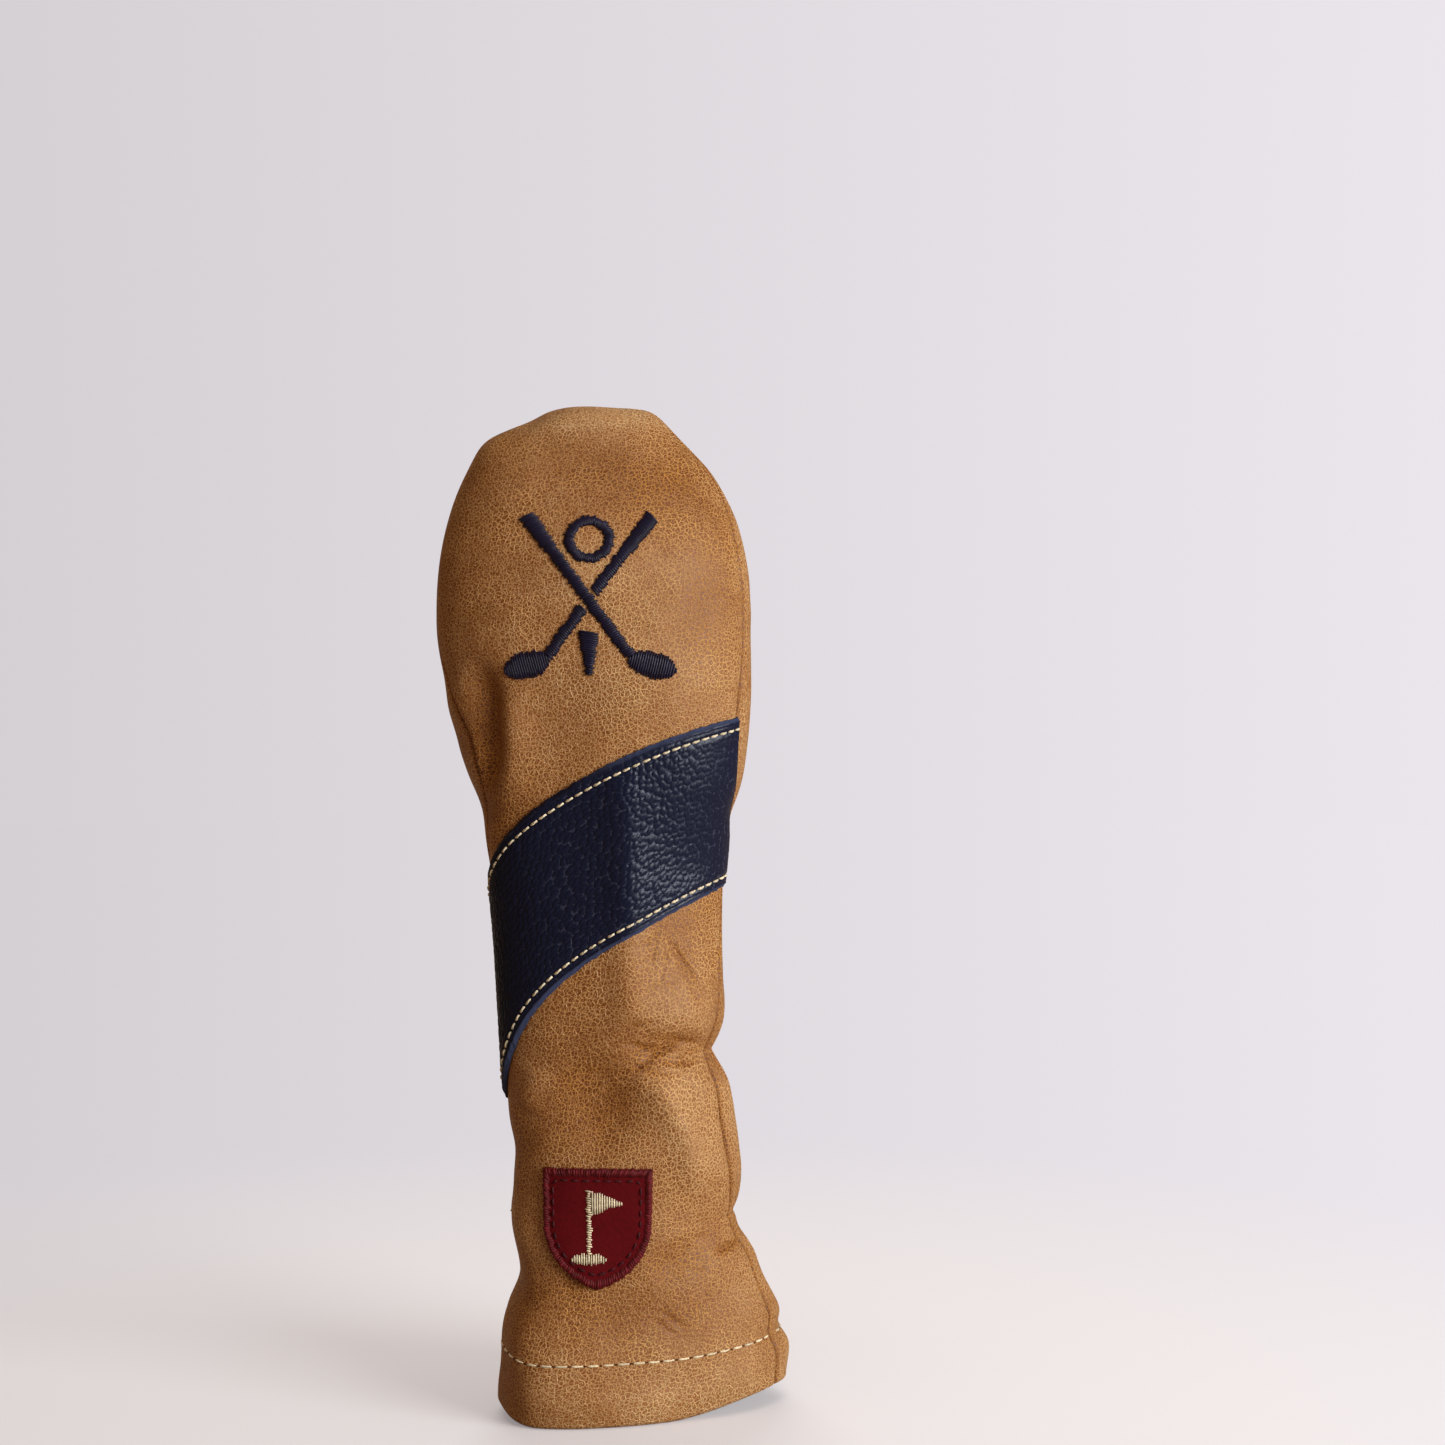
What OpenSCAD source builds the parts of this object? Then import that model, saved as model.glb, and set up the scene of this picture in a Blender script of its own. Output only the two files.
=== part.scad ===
// Leather headcover for a hybrid golf club: a sewn sleeve that stands on its hem, mouth down.
// Origin at the centre of the mouth, on the plane that the hem rests on. +Z up, the front faces -Y.

/* [Outline] */
// Height from the hem to the top seam
total_h = 285; // [275:1:300]
// Width across the mouth
mouth_w = 84; // [76:0.5:90]
// Width at the hem's stitches
hem_w = 85.5; // [78:0.5:91]
// Width of the cuff above the hem
cuff_w = 70; // [64:0.5:74]
// Width of the neck between the gathers
neck_w = 64.5; // [58:0.5:70]
// Width of the throat behind the stripe
throat_w = 66.5; // [60:0.5:72]
// Width where the front panel folds in under the crown
fold_w = 82; // [76:0.5:86]
// Width of the crown at its widest
crown_w = 90; // [82:0.5:98]
// Length of the flat ridge at the top seam
ridge_w = 16; // [8:0.5:24]

/* [Heights] */
// Height of the cuff's narrowest part
cuff_z = 40; // [36:1:46]
// Height of the neck between the gathers
neck_z = 86; // [76:1:92]
// Height of the throat
throat_z = 150; // [140:1:160]
// Height where the front panel folds in under the crown
fold_z = 188; // [180:1:198]
// Height of the crown's widest part
crown_z = 224; // [214:1:234]

/* [Lean] */
// Sideways place of the middle at the hem's stitches
hem_lean = 1; // [-2:0.5:3]
// Sideways place of the cuff's middle
cuff_lean = -1.5; // [-4:0.5:2]
// Sideways place of the neck's middle
neck_lean = -6; // [-9:0.5:0]
// Sideways place of the throat's middle
throat_lean = -9.5; // [-14:0.5:-4]
// Sideways place of the middle where the front panel folds in
fold_lean = -10.5; // [-15:0.5:-5]
// Sideways place of the crown's middle
crown_lean = -13.5; // [-18:0.5:-8]
// Angle of the oval mouth, in degrees, with its left end nearer the front
mouth_angle = 20; // [0:1:25]

/* [Depths] */
// Depth of the mouth in front of the side seams
mouth_front = 24; // [21:0.5:28]
// Depth of the mouth behind the side seams
mouth_rear = 26; // [22:0.5:30]
// Depth of the neck in front of the side seams
neck_front = 22; // [19:0.5:26]
// Depth of the neck behind the side seams
neck_rear = 25; // [21:0.5:29]
// Depth of the crown in front of the side seams
crown_front = 28; // [24:0.5:33]
// Depth of the crown behind the side seams
crown_rear = 31; // [26:0.5:36]

/* [Leather and lining] */
// Thickness of the tan leather
leather_t = 1.4; // [1:0.1:2]
// Thickness of the fleece lining
lining_t = 2.5; // [1.5:0.1:3.5]
// Height of the turned-up hem
hem_fold_h = 24; // [20:0.5:28]
// Clearance between layers that lie on each other
layer_gap = 0.3; // [0.2:0.05:0.4]
// Clearance between the two panels at their seam
seam_gap = 0.4; // [0.3:0.05:0.6]
// Depth of the groove along the seam
groove_d = 1.6; // [0.5:0.1:2.5]
// Half width of the groove along the seam
groove_w = 2.4; // [1.5:0.1:4]

/* [Gathers] */
// Height of the lower elastic
lower_gather_z = 54; // [50:0.5:60]
// Height of the upper elastic
upper_gather_z = 101; // [96:0.5:106]
// How far each elastic draws the leather in
gather_d = 6.5; // [3:0.5:8]
// Height over which the leather is drawn in, above and below
gather_reach = 16; // [12:0.5:20]
// Width of an elastic band
elastic_w = 8; // [6:0.5:10]
// Thickness of an elastic band
elastic_t = 1; // [0.6:0.1:1.4]
// Gap between the rear panel's crown and neck
split_gap = 0.6; // [0.4:0.1:1]

/* [Stripe] */
// Height of the stripe's middle at the left seam
stripe_left_z = 118; // [112:1:124]
// Height of the stripe's middle at the right seam
stripe_right_z = 172; // [166:1:178]
// How far the stripe's middle rises above the straight line between its ends
stripe_bow = 11.5; // [0:0.5:14]
// Width of the stripe at the left seam, square to its run
stripe_left_w = 41; // [36:0.5:46]
// Width of the stripe at the right seam, square to its run
stripe_right_w = 48; // [42:0.5:54]
// Thickness of the stripe's leather
stripe_t = 1.3; // [0.9:0.1:1.8]

/* [Stitches] */
// Diameter of the thread
thread_d = 0.7; // [0.5:0.05:0.9]
// Distance from one stripe stitch to the next
stripe_pitch = 3; // [2.5:0.1:4]
// Length of one stripe stitch
stripe_stitch = 2.2; // [1.6:0.1:2.4]
// Distance from the stripe's edge to its stitches
stripe_inset = 2.8; // [2:0.1:4]
// Height of the hem's stitches
hem_stitch_z = 17.5; // [14:0.5:19.5]
// Distance from one hem stitch to the next
hem_pitch = 4.2; // [3.6:0.1:5]
// Length of one hem stitch
hem_stitch = 3.3; // [2.4:0.1:3.5]
// Distance from one hidden seam stitch to the next
seam_pitch = 8; // [5:0.5:12]
// Length of one hidden seam stitch
seam_stitch = 3; // [2:0.1:4]

/* [Emblem] */
// Width and height of the embroidered emblem
emblem_w = 48; // [40:1:54]
// Sideways place of the emblem's middle, from the crown's middle
emblem_x = 0; // [-4:0.5:4]
// Height of the emblem's middle
emblem_z = 230; // [226:0.5:234]
// Height of the embroidery above the leather
emblem_t = 0.7; // [0.4:0.1:1]
// Thickness of the stabiliser behind the embroidery
backing_t = 0.4; // [0.2:0.1:0.6]

/* [Patch] */
// Width of the shield patch
patch_w = 30; // [26:0.5:34]
// Height of the shield patch
patch_h = 33; // [28:0.5:36]
// Sideways place of the patch's middle
patch_x = -11.5; // [-14:0.5:-8]
// Height of the patch's middle
patch_z = 54; // [50:0.5:58]
// Thickness of the patch's twill
patch_t = 0.8; // [0.5:0.1:1.2]
// Width of the patch's sewn border
border_w = 2.6; // [2:0.1:3.5]
// Distance from the border to the patch's running stitch
patch_inset = 1.1; // [0.8:0.1:2]
// How far the border stands above the twill
border_rise = 0.8; // [0.4:0.1:1.2]
// Height of the motif on the patch
motif_h = 17; // [14:0.5:19]
// Height of the motif's middle above the patch's middle
motif_rise = 2; // [1:0.5:3]
// How far the motif stands above the twill
motif_t = 0.6; // [0.4:0.1:0.9]

/* [Hidden] */

TAN = "#b8844f";
NAVY = "#1d2140";
CREAM = "#e2d5b8";
FLEECE = "#cbb795";
RED = "#7a0f1c";
DARK_RED = "#4a0812";
WHITE = "#efece4";

// How far, in degrees, each seam lies in front of the widest line, from the mouth up to the crown.
LEFT_SEAM_ANGLES = [-18, -14, -4, 6, 8, 26, 8];
RIGHT_SEAM_ANGLES = [14, 16, 12, 26, 6, 15, 16];
// Columns of a level: height, width, lean, front and rear depth, the seams' angles and the section's own.
HEIGHT = 0;
WIDTH = 1;
LEAN = 2;
FRONT = 3;
REAR = 4;
ANGLE = 5;
LEFT_SEAM = 6;
RIGHT_SEAM = 7;
cuff_front = (mouth_front + neck_front) / 2;
cuff_rear = (mouth_rear + neck_rear) / 2;
// Share of the way from the neck's depth to the crown's where the front panel folds in.
FOLD_SHARE = 0.6;
fold_front = mix(neck_front, crown_front, FOLD_SHARE);
fold_rear = mix(neck_rear, crown_rear, FOLD_SHARE);
SECTIONS = [
    [0, mouth_w, 0, mouth_front, mouth_rear, mouth_angle],
    [hem_stitch_z, hem_w, hem_lean, mouth_front, mouth_rear, mouth_angle],
    [cuff_z, cuff_w, cuff_lean, cuff_front, cuff_rear, mouth_angle / 2],
    [neck_z, neck_w, neck_lean, neck_front, neck_rear, 0],
    [throat_z, throat_w, throat_lean, neck_front, neck_rear, 0],
    [fold_z, fold_w, fold_lean, fold_front, fold_rear, 0],
    [crown_z, crown_w, crown_lean, crown_front, crown_rear, 0]];
LEVELS = [for (i = [0:len(SECTIONS) - 1]) concat(SECTIONS[i], LEFT_SEAM_ANGLES[i], RIGHT_SEAM_ANGLES[i])];
// How square the crown's left and right shoulders are: 2 is round.
LEFT_SHOULDER_POWER = 2.2;
RIGHT_SHOULDER_POWER = 2;
// Each elastic draws the right side in fully, and the left side by this share.
LEFT_GATHER_SHARE = 0;

// Power by which the seams come together, and the section flattens, towards the top seam.
SEAM_POWER = 4;
FLATTEN_POWER = 6;

// Steps of the surfaces, along and across.
row_step = 8;
lining_step = 16;
COLUMNS = 20;
DOME_ROWS = 9;
STRIPE_ROWS = 6;
STRIPE_COLUMNS = 22;
LINE_STEPS = 48;
SEAM_EASE_SHARE = 0.6;
ROUND = 24;

hem_skive = 1;
sleeve_start = hem_fold_h + hem_skive;
lining_start = sleeve_start + layer_gap;
front_lining_depth = leather_t + backing_t + 2 * layer_gap;
neck_lining_depth = leather_t + elastic_t + 2 * layer_gap;
split_z = upper_gather_z + elastic_w * 3 / 4;
neck_top = split_z - split_gap / 2;
crown_start = split_z + split_gap / 2;
stripe_top = layer_gap + stripe_t;
twill_top = layer_gap + patch_t;

function mix(a, b, t) = a + (b - a) * t;
function clamp(v, low, high) = max(low, min(high, v));
function flat(lists) = [for (l = lists) each l];
function steps(low, high, step) =
    let (n = ceil((high - low) / step)) [for (i = [0:n]) mix(low, high, i / n)];
function evenly(n) = [for (i = [0:n]) i / n];
// Shares across a panel, closer together near its seams.
function eased(n) = [for (i = [0:n]) mix(i / n, (1 - cos(180 * i / n)) / 2, SEAM_EASE_SHARE)];

// Smooth curve through the levels: the value of one column at height z.
function level_index(z, i = 0) =
    i >= len(LEVELS) - 2 || z < LEVELS[i + 1][HEIGHT] ? i : level_index(z, i + 1);
function level_slope(i, k) =
    i == 0 || i == len(LEVELS) - 1 ? 0
    : (LEVELS[i + 1][k] - LEVELS[i - 1][k]) / (LEVELS[i + 1][HEIGHT] - LEVELS[i - 1][HEIGHT]);
function hermite(p, q, p_slope, q_slope, t) =
    (2 * t ^ 3 - 3 * t ^ 2 + 1) * p + (t ^ 3 - 2 * t ^ 2 + t) * p_slope
    + (3 * t ^ 2 - 2 * t ^ 3) * q + (t ^ 3 - t ^ 2) * q_slope;
function level(z, k) =
    let (i = level_index(z), low = LEVELS[i], high = LEVELS[i + 1], h = high[HEIGHT] - low[HEIGHT])
    hermite(low[k], high[k], h * level_slope(i, k), h * level_slope(i + 1, k),
        clamp((z - low[HEIGHT]) / h, 0, 1));

// The crown closes above its widest part, from rise 0 to rise 1 at the top seam.
dome_h = total_h - crown_z;
function rise(z) = clamp((z - crown_z) / dome_h, 0, 1);
function arch(z, n) = max(0, 1 - rise(z) ^ n) ^ (1 / n);
function half_width(z, shoulder) = mix(ridge_w / 2, level(z, WIDTH) / 2, arch(z, shoulder));
function left_x(z) = level(z, LEAN) - half_width(z, LEFT_SHOULDER_POWER);
function right_x(z) = level(z, LEAN) + half_width(z, RIGHT_SHOULDER_POWER);
function middle_x(z) = (left_x(z) + right_x(z)) / 2;
function half_span(z) = (right_x(z) - left_x(z)) / 2;
function dome_rows(n) = [for (i = [1:n]) crown_z + dome_h * sin(90 * i / n)];

// Turn round the section at height z, in degrees: 0 right, 90 front, 180 left, 270 rear.
// At the top seam the section flattens to a line.
function seam_turn(z, k) = level(z, k) * (1 - rise(z) ^ SEAM_POWER);
function front_turn(z, t) = mix(seam_turn(z, RIGHT_SEAM), 180 - seam_turn(z, LEFT_SEAM), t);
function rear_turn(z, t) = mix(180 - seam_turn(z, LEFT_SEAM), 360 + seam_turn(z, RIGHT_SEAM), t);

// The leather dips at the seams, and the elastics draw it in.
function panel_span(z) = level(z, WIDTH) + level(z, FRONT);
function seam_distance(z, t) = min(min(t, 1 - t) * panel_span(z), acos(rise(z)) / 90 * dome_h);
function groove(z, t) = groove_d * exp(-(seam_distance(z, t) / groove_w) ^ 2);
function pinch(z, at) = max(0, 1 - abs(z - at) / gather_reach) ^ 2;
function gather(z, turn) =
    gather_d * (pinch(z, lower_gather_z) + pinch(z, upper_gather_z))
    * sqrt((1 - sin(turn)) / 2) * mix(LEFT_GATHER_SHARE, 1, (1 + cos(turn)) / 2);

// A point of the sleeve at height z: depth is measured inwards from the leather's face.
function skin(z, t, turn, depth, side) =
    let (
        r = rise(z),
        out = sqrt(1 - r ^ 2),
        inwards = depth + groove(z, t) + gather(z, turn),
        half = half_span(z) - inwards * out,
        deep = level(z, sin(turn) > 0 ? FRONT : REAR) * arch(z, 2) - inwards * out,
        reach = mix(cos(turn), side * (2 * t - 1), r ^ FLATTEN_POWER),
        x = half * reach,
        y = side * seam_gap / 2 - deep * sin(turn),
        twist = level(z, ANGLE))
    [middle_x(z) + x * cos(twist) - y * sin(twist), x * sin(twist) + y * cos(twist), z - inwards * r];
front_point = function (z, t, depth) skin(z, t, front_turn(z, t), depth, -1);
rear_point = function (z, t, depth) skin(z, t, rear_turn(z, t), depth, 1);

// A point of the front, given by its sideways place and height, lifted off the leather's face.
function across(x, z) =
    let (
        wide = half_span(z) * cos(level(z, ANGLE)),
        deep = level(z, FRONT) * sin(level(z, ANGLE)),
        turn = atan2(deep, wide) + acos(clamp((x - middle_x(z)) / norm([wide, deep]), -1, 1)))
    (turn - front_turn(z, 0)) / (front_turn(z, 1) - front_turn(z, 0));
function on_front(p, lift) = front_point(p[1], across(p[0], p[1]), -lift);

// Closed solid between two grids of points of the same shape, the outer one first.
module layer(outer, inner) {
    rows = len(outer);
    columns = len(outer[0]);
    count = rows * columns;
    function at(i, j) = i * columns + j;
    function inside(f) = [for (v = f) v + count];
    rim = concat(
        [for (j = [0:columns - 1]) at(0, j)],
        [for (i = [1:rows - 1]) at(i, columns - 1)],
        [for (j = [columns - 2:-1:0]) at(rows - 1, j)],
        [for (i = [rows - 2:-1:1]) at(i, 0)]);
    triangles = [for (i = [0:rows - 2], j = [0:columns - 2]) each [
        [at(i, j), at(i, j + 1), at(i + 1, j + 1)],
        [at(i, j), at(i + 1, j + 1), at(i + 1, j)]]];
    walls = [for (k = [0:len(rim) - 1])
        let (a = rim[k], b = rim[(k + 1) % len(rim)])
        each [[b, a, a + count], [b, a + count, b + count]]];
    polyhedron(
        concat(flat(outer), flat(inner)),
        concat(triangles, [for (f = triangles) inside([f[0], f[2], f[1]])], walls));
}

// Sheet over rows of heights and shares across: place gives a point from height, share and depth.
module sheet(place, rows, shares, outer, inner) {
    layer(
        [for (z = rows) [for (t = shares) place(z, t, outer(z))]],
        [for (z = rows) [for (t = shares) place(z, t, inner(z))]]);
}
function even(depth) = function (z) depth;

// Closed solid on the front over an outline of [x, z] points, counter-clockwise round a middle.
module raised_shape(outline, middle, low, high) {
    rings = 2;
    n = len(outline);
    function ring(k, lift) = [for (p = outline) on_front(mix(middle, p, k / rings), lift)];
    function low_at(k, i) = 2 + (k - 1) * n + i % n;
    function high_at(k, i) = low_at(rings + k, i);
    points = concat(
        [on_front(middle, low), on_front(middle, high)],
        flat([for (lift = [low, high], k = [1:rings]) ring(k, lift)]));
    faces = [for (i = [0:n - 1]) each [
        [0, low_at(1, i), low_at(1, i + 1)],
        [1, high_at(1, i + 1), high_at(1, i)],
        [low_at(1, i), low_at(2, i), low_at(2, i + 1)],
        [low_at(1, i), low_at(2, i + 1), low_at(1, i + 1)],
        [high_at(1, i), high_at(2, i + 1), high_at(2, i)],
        [high_at(1, i), high_at(1, i + 1), high_at(2, i + 1)],
        [low_at(2, i), high_at(2, i), high_at(2, i + 1)],
        [low_at(2, i), high_at(2, i + 1), low_at(2, i + 1)]]];
    polyhedron(points, faces);
}

// Closed band on the front: outlines with their lifts, given in turn round the band's section.
module raised_band(outlines, lifts) {
    m = len(outlines);
    n = len(outlines[0]);
    function at(k, i) = (k % m) * n + i % n;
    points = flat([for (k = [0:m - 1]) [for (p = outlines[k]) on_front(p, lifts[k])]]);
    faces = [for (k = [0:m - 1], i = [0:n - 1]) each [
        [at(k, i), at(k + 1, i), at(k + 1, i + 1)],
        [at(k, i), at(k + 1, i + 1), at(k, i + 1)]]];
    polyhedron(points, faces);
}

// Outlines in the plane of the front, counter-clockwise.
function oval_outline(centre, radius_x, radius_z, tilt, n = ROUND) =
    [for (i = [0:n - 1]) let (a = 360 * i / n, x = radius_x * cos(a), z = radius_z * sin(a))
        centre + [x * cos(tilt) - z * sin(tilt), x * sin(tilt) + z * cos(tilt)]];
function bar_outline(a, b, start_w, end_w, n = 6) =
    let (run = (b - a) / norm(b - a), right = [run[1], -run[0]])
    concat(
        [for (s = evenly(n)) mix(a, b, s) + right * mix(start_w, end_w, s) / 2],
        [for (s = evenly(n)) mix(b, a, s) - right * mix(end_w, start_w, s) / 2]);

// Shield: a straight top, straight sides, and two arcs that meet in the point.
SHIELD_SIDE_SHARE = 0.45;
SHIELD_ARC_STEPS = 8;
// The point draws back further than the sides do as the outline is inset.
SHIELD_POINT_INSET = 1.3;
function shield_outline(inset) =
    let (
        half = patch_w / 2 - inset,
        top = patch_h / 2 - inset,
        shoulder = patch_h * (0.5 - SHIELD_SIDE_SHARE),
        drop = shoulder + patch_h / 2 - inset * SHIELD_POINT_INSET,
        back = (drop ^ 2 - half ^ 2) / (2 * half),
        radius = half + back,
        sweep = asin(drop / radius),
        n = SHIELD_ARC_STEPS,
        arc = [for (s = evenly(n)) sweep * (s - 1)],
        right_arc = [for (a = arc) [radius * cos(a) - back, shoulder + radius * sin(a)]],
        right_side = [for (s = [0.5, 1]) [half, mix(shoulder, top, s)]],
        top_edge = [for (s = evenly(6)) if (s > 0 && s < 1) [half * (1 - 2 * s), top]],
        left_side = [for (s = [1, 0.5]) [-half, mix(shoulder, top, s)]],
        left_arc = [for (i = [n:-1:1]) [-right_arc[i][0], right_arc[i][1]]])
    [for (p = concat(right_arc, right_side, top_edge, left_side, left_arc)) [patch_x, patch_z] + p];

// Stitches: pieces of thread spaced evenly along a line of points.
function run_lengths(points, i = 0, sum = 0) =
    i == len(points) - 1 ? [sum]
    : concat([sum], run_lengths(points, i + 1, sum + norm(points[i + 1] - points[i])));
function walk(points, sums, d, i = 0) =
    i == len(points) - 2 || d < sums[i + 1]
    ? mix(points[i], points[i + 1], (d - sums[i]) / (sums[i + 1] - sums[i]))
    : walk(points, sums, d, i + 1);
module thread(a, b) {
    run = b - a;
    translate(a)
        rotate([0, acos(run[2] / norm(run)), atan2(run[1], run[0])])
            cylinder(h = norm(run), d = thread_d, $fn = ROUND);
}
module stitch_line(points, pitch, length) {
    sums = run_lengths(points);
    total = sums[len(sums) - 1];
    n = floor(total / pitch);
    for (i = [0:n - 1]) {
        middle = total / n * (i + 0.5);
        thread(walk(points, sums, middle - length / 2), walk(points, sums, middle + length / 2));
    }
}

// Stripe: its middle line and edges, over the share across the front from the right seam to the left.
function stripe_slope(t) =
    (stripe_left_z - stripe_right_z + 4 * stripe_bow * (1 - 2 * t)) / (throat_w + neck_front);
function stripe_half(t) = mix(stripe_right_w, stripe_left_w, t) / 2;
function stripe_z(t, off) =
    mix(stripe_right_z, stripe_left_z, t) + 4 * stripe_bow * t * (1 - t)
    + off * sqrt(1 + stripe_slope(t) ^ 2);
function stripe_point(t, off, lift) = front_point(stripe_z(t, off), t, -lift);
module stripe_stitching(side) {
    stitch_line(
        [for (t = evenly(LINE_STEPS)) stripe_point(t, side * (stripe_half(t) - stripe_inset), stripe_top)],
        stripe_pitch, stripe_stitch);
}

// Panels: the hem is folded up inside, twice the leather's thickness.
// Rows lie on both edges and the middle of each elastic.
function gathered(start, end) =
    concat(start, [for (z = [lower_gather_z, upper_gather_z], k = [-1:1]) z + k * elastic_w / 2], end);
function rows_through(heights, step) =
    concat([heights[0]], flat([for (i = [0:len(heights) - 2])
        let (part = steps(heights[i], heights[i + 1], step)) [for (k = [1:len(part) - 1]) part[k]]]));
hem_rows = steps(0, hem_fold_h, row_step);
function leather_depth() = function (z) z <= hem_fold_h ? 2 * leather_t : leather_t;

module front_panel() {
    sleeve = rows_through(gathered(sleeve_start, crown_z), row_step);
    rows = concat(hem_rows, sleeve, dome_rows(DOME_ROWS));
    color(TAN) sheet(front_point, rows, eased(COLUMNS), even(0), leather_depth());
}
module rear_crown_panel() {
    rows = concat(steps(crown_start, crown_z, row_step), dome_rows(DOME_ROWS));
    color(TAN) sheet(rear_point, rows, eased(COLUMNS), even(0), even(leather_t));
}
module rear_neck_panel() {
    rows = concat(hem_rows, rows_through(gathered(sleeve_start, neck_top), row_step));
    color(TAN) sheet(rear_point, rows, eased(COLUMNS), even(0), leather_depth());
}

// Lining
module lining(place, rows, depth) {
    color(FLEECE) sheet(place, rows, eased(COLUMNS), even(depth), even(depth + lining_t));
}
module front_lining() {
    rows = concat(rows_through(gathered(lining_start, crown_z), lining_step), dome_rows(DOME_ROWS));
    lining(front_point, rows, front_lining_depth);
}
module rear_crown_lining() {
    rows = concat(steps(crown_start, crown_z, lining_step), dome_rows(DOME_ROWS));
    lining(rear_point, rows, front_lining_depth);
}
module rear_neck_lining() {
    lining(rear_point, rows_through(gathered(lining_start, neck_top), lining_step), neck_lining_depth);
}

// Elastics, between the leather and the lining of the rear neck
ELASTIC_MARGIN_SHARE = 0.04;
module elastic(z) {
    rows = [z - elastic_w / 2, z, z + elastic_w / 2];
    shares = [for (t = eased(COLUMNS)) if (min(t, 1 - t) > ELASTIC_MARGIN_SHARE) t];
    depth = leather_t + layer_gap;
    color(WHITE) sheet(rear_point, rows, shares, even(depth), even(depth + elastic_t));
}
module rear_stitching(z, pitch, length) {
    shares = [for (s = evenly(LINE_STEPS)) mix(ELASTIC_MARGIN_SHARE, 1 - ELASTIC_MARGIN_SHARE, s)];
    stitch_line([for (t = shares) rear_point(z, t, 0)], pitch, length);
}
module upper_elastic() { elastic(upper_gather_z); }
module lower_elastic() { elastic(lower_gather_z); }
module elastic_stitching(z) { color(TAN) rear_stitching(z, stripe_pitch, stripe_stitch); }
module upper_elastic_stitching() { elastic_stitching(upper_gather_z); }
module lower_elastic_stitching() { elastic_stitching(lower_gather_z); }

// Stripe and its stitches
module stripe() {
    shares = eased(STRIPE_COLUMNS);
    rows = [for (s = evenly(STRIPE_ROWS)) 2 * s - 1];
    color(NAVY) layer(
        [for (s = rows) [for (t = shares) stripe_point(t, s * stripe_half(t), stripe_top)]],
        [for (s = rows) [for (t = shares) stripe_point(t, s * stripe_half(t), layer_gap)]]);
}
module stripe_upper_stitching() { color(CREAM) stripe_stitching(1); }
module stripe_lower_stitching() { color(CREAM) stripe_stitching(-1); }

// Hem stitches and the hidden stitches of the crown's seam
module front_hem_stitching() {
    line = [for (t = evenly(LINE_STEPS)) front_point(hem_stitch_z, t, 0)];
    color(CREAM) stitch_line(line, hem_pitch, hem_stitch);
}
module rear_hem_stitching() { color(CREAM) rear_stitching(hem_stitch_z, hem_pitch, hem_stitch); }
SEAM_DEPTH_SHARE = 0.7;
SEAM_TOP_RISE = 0.97;
module crown_seam_stitching() {
    depth = leather_t * SEAM_DEPTH_SHARE;
    sides = steps(crown_start + seam_pitch / 2, crown_z, seam_pitch);
    shoulders = [for (z = dome_rows(ceil(dome_h / seam_pitch))) if (rise(z) < SEAM_TOP_RISE) z];
    color(TAN)
        for (z = concat(sides, shoulders)) {
            edge = seam_stitch / 2 / panel_span(z);
            thread(front_point(z, edge, depth), rear_point(z, 1 - edge, depth));
            thread(front_point(z, 1 - edge, depth), rear_point(z, edge, depth));
        }
}

// Emblem: two crossed clubs, a ball above them and a tee below. Points are in half widths from its middle.
GRIP_TOP = [-0.72, 0.9];
GRIP_END = [-0.44, 0.52];
HEEL = [0.46, -0.7];
HEAD = [0.71, -0.82];
BALL = [0, 0.62];
TEE_TOP = [0, -0.45];
TEE_END = [0, -0.92];
// Widths of the emblem's strokes and shapes, as shares of its width.
GRIP_SHARE = 0.09;
GRIP_TAPER = 0.8;
SHAFT_SHARE = 0.06;
HEAD_SHARES = [0.135, 0.075];
HEAD_TILT_ANGLE = -14;
BALL_SHARE = 0.14;
RING_SHARE = 0.05;
TEE_TOP_SHARE = 0.12;
TEE_END_SHARE = 0.035;
emblem_gap = 0.5;
emblem_top = layer_gap + emblem_t;
function emblem_at(p, side = 1) =
    [crown_lean + emblem_x, emblem_z] + [side * p[0], p[1]] * emblem_w / 2;
module club(side, cut) {
    grip_top = emblem_at(GRIP_TOP, side);
    grip_end = emblem_at(GRIP_END, side);
    heel = emblem_at(HEEL, side);
    head = emblem_at(HEAD, side);
    run = (heel - grip_top) / norm(heel - grip_top);
    crossing = mix(grip_top, heel, GRIP_TOP[0] / (GRIP_TOP[0] - HEEL[0]));
    grip_w = emblem_w * GRIP_SHARE;
    shaft_w = emblem_w * SHAFT_SHARE;
    raised_bar(grip_top, grip_end, grip_w, grip_w * GRIP_TAPER);
    if (cut) {
        raised_bar(grip_end + run * emblem_gap, crossing - run * shaft_w, shaft_w, shaft_w);
        raised_bar(crossing + run * shaft_w, heel, shaft_w, shaft_w);
    } else {
        raised_bar(grip_end + run * emblem_gap, heel, shaft_w, shaft_w);
    }
    size = emblem_w * HEAD_SHARES;
    raised_shape(oval_outline(head, size[0], size[1], HEAD_TILT_ANGLE * side), head, layer_gap, emblem_top);
}
module raised_bar(a, b, start_w, end_w) {
    raised_shape(bar_outline(a, b, start_w, end_w), (a + b) / 2, layer_gap, emblem_top);
}
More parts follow.
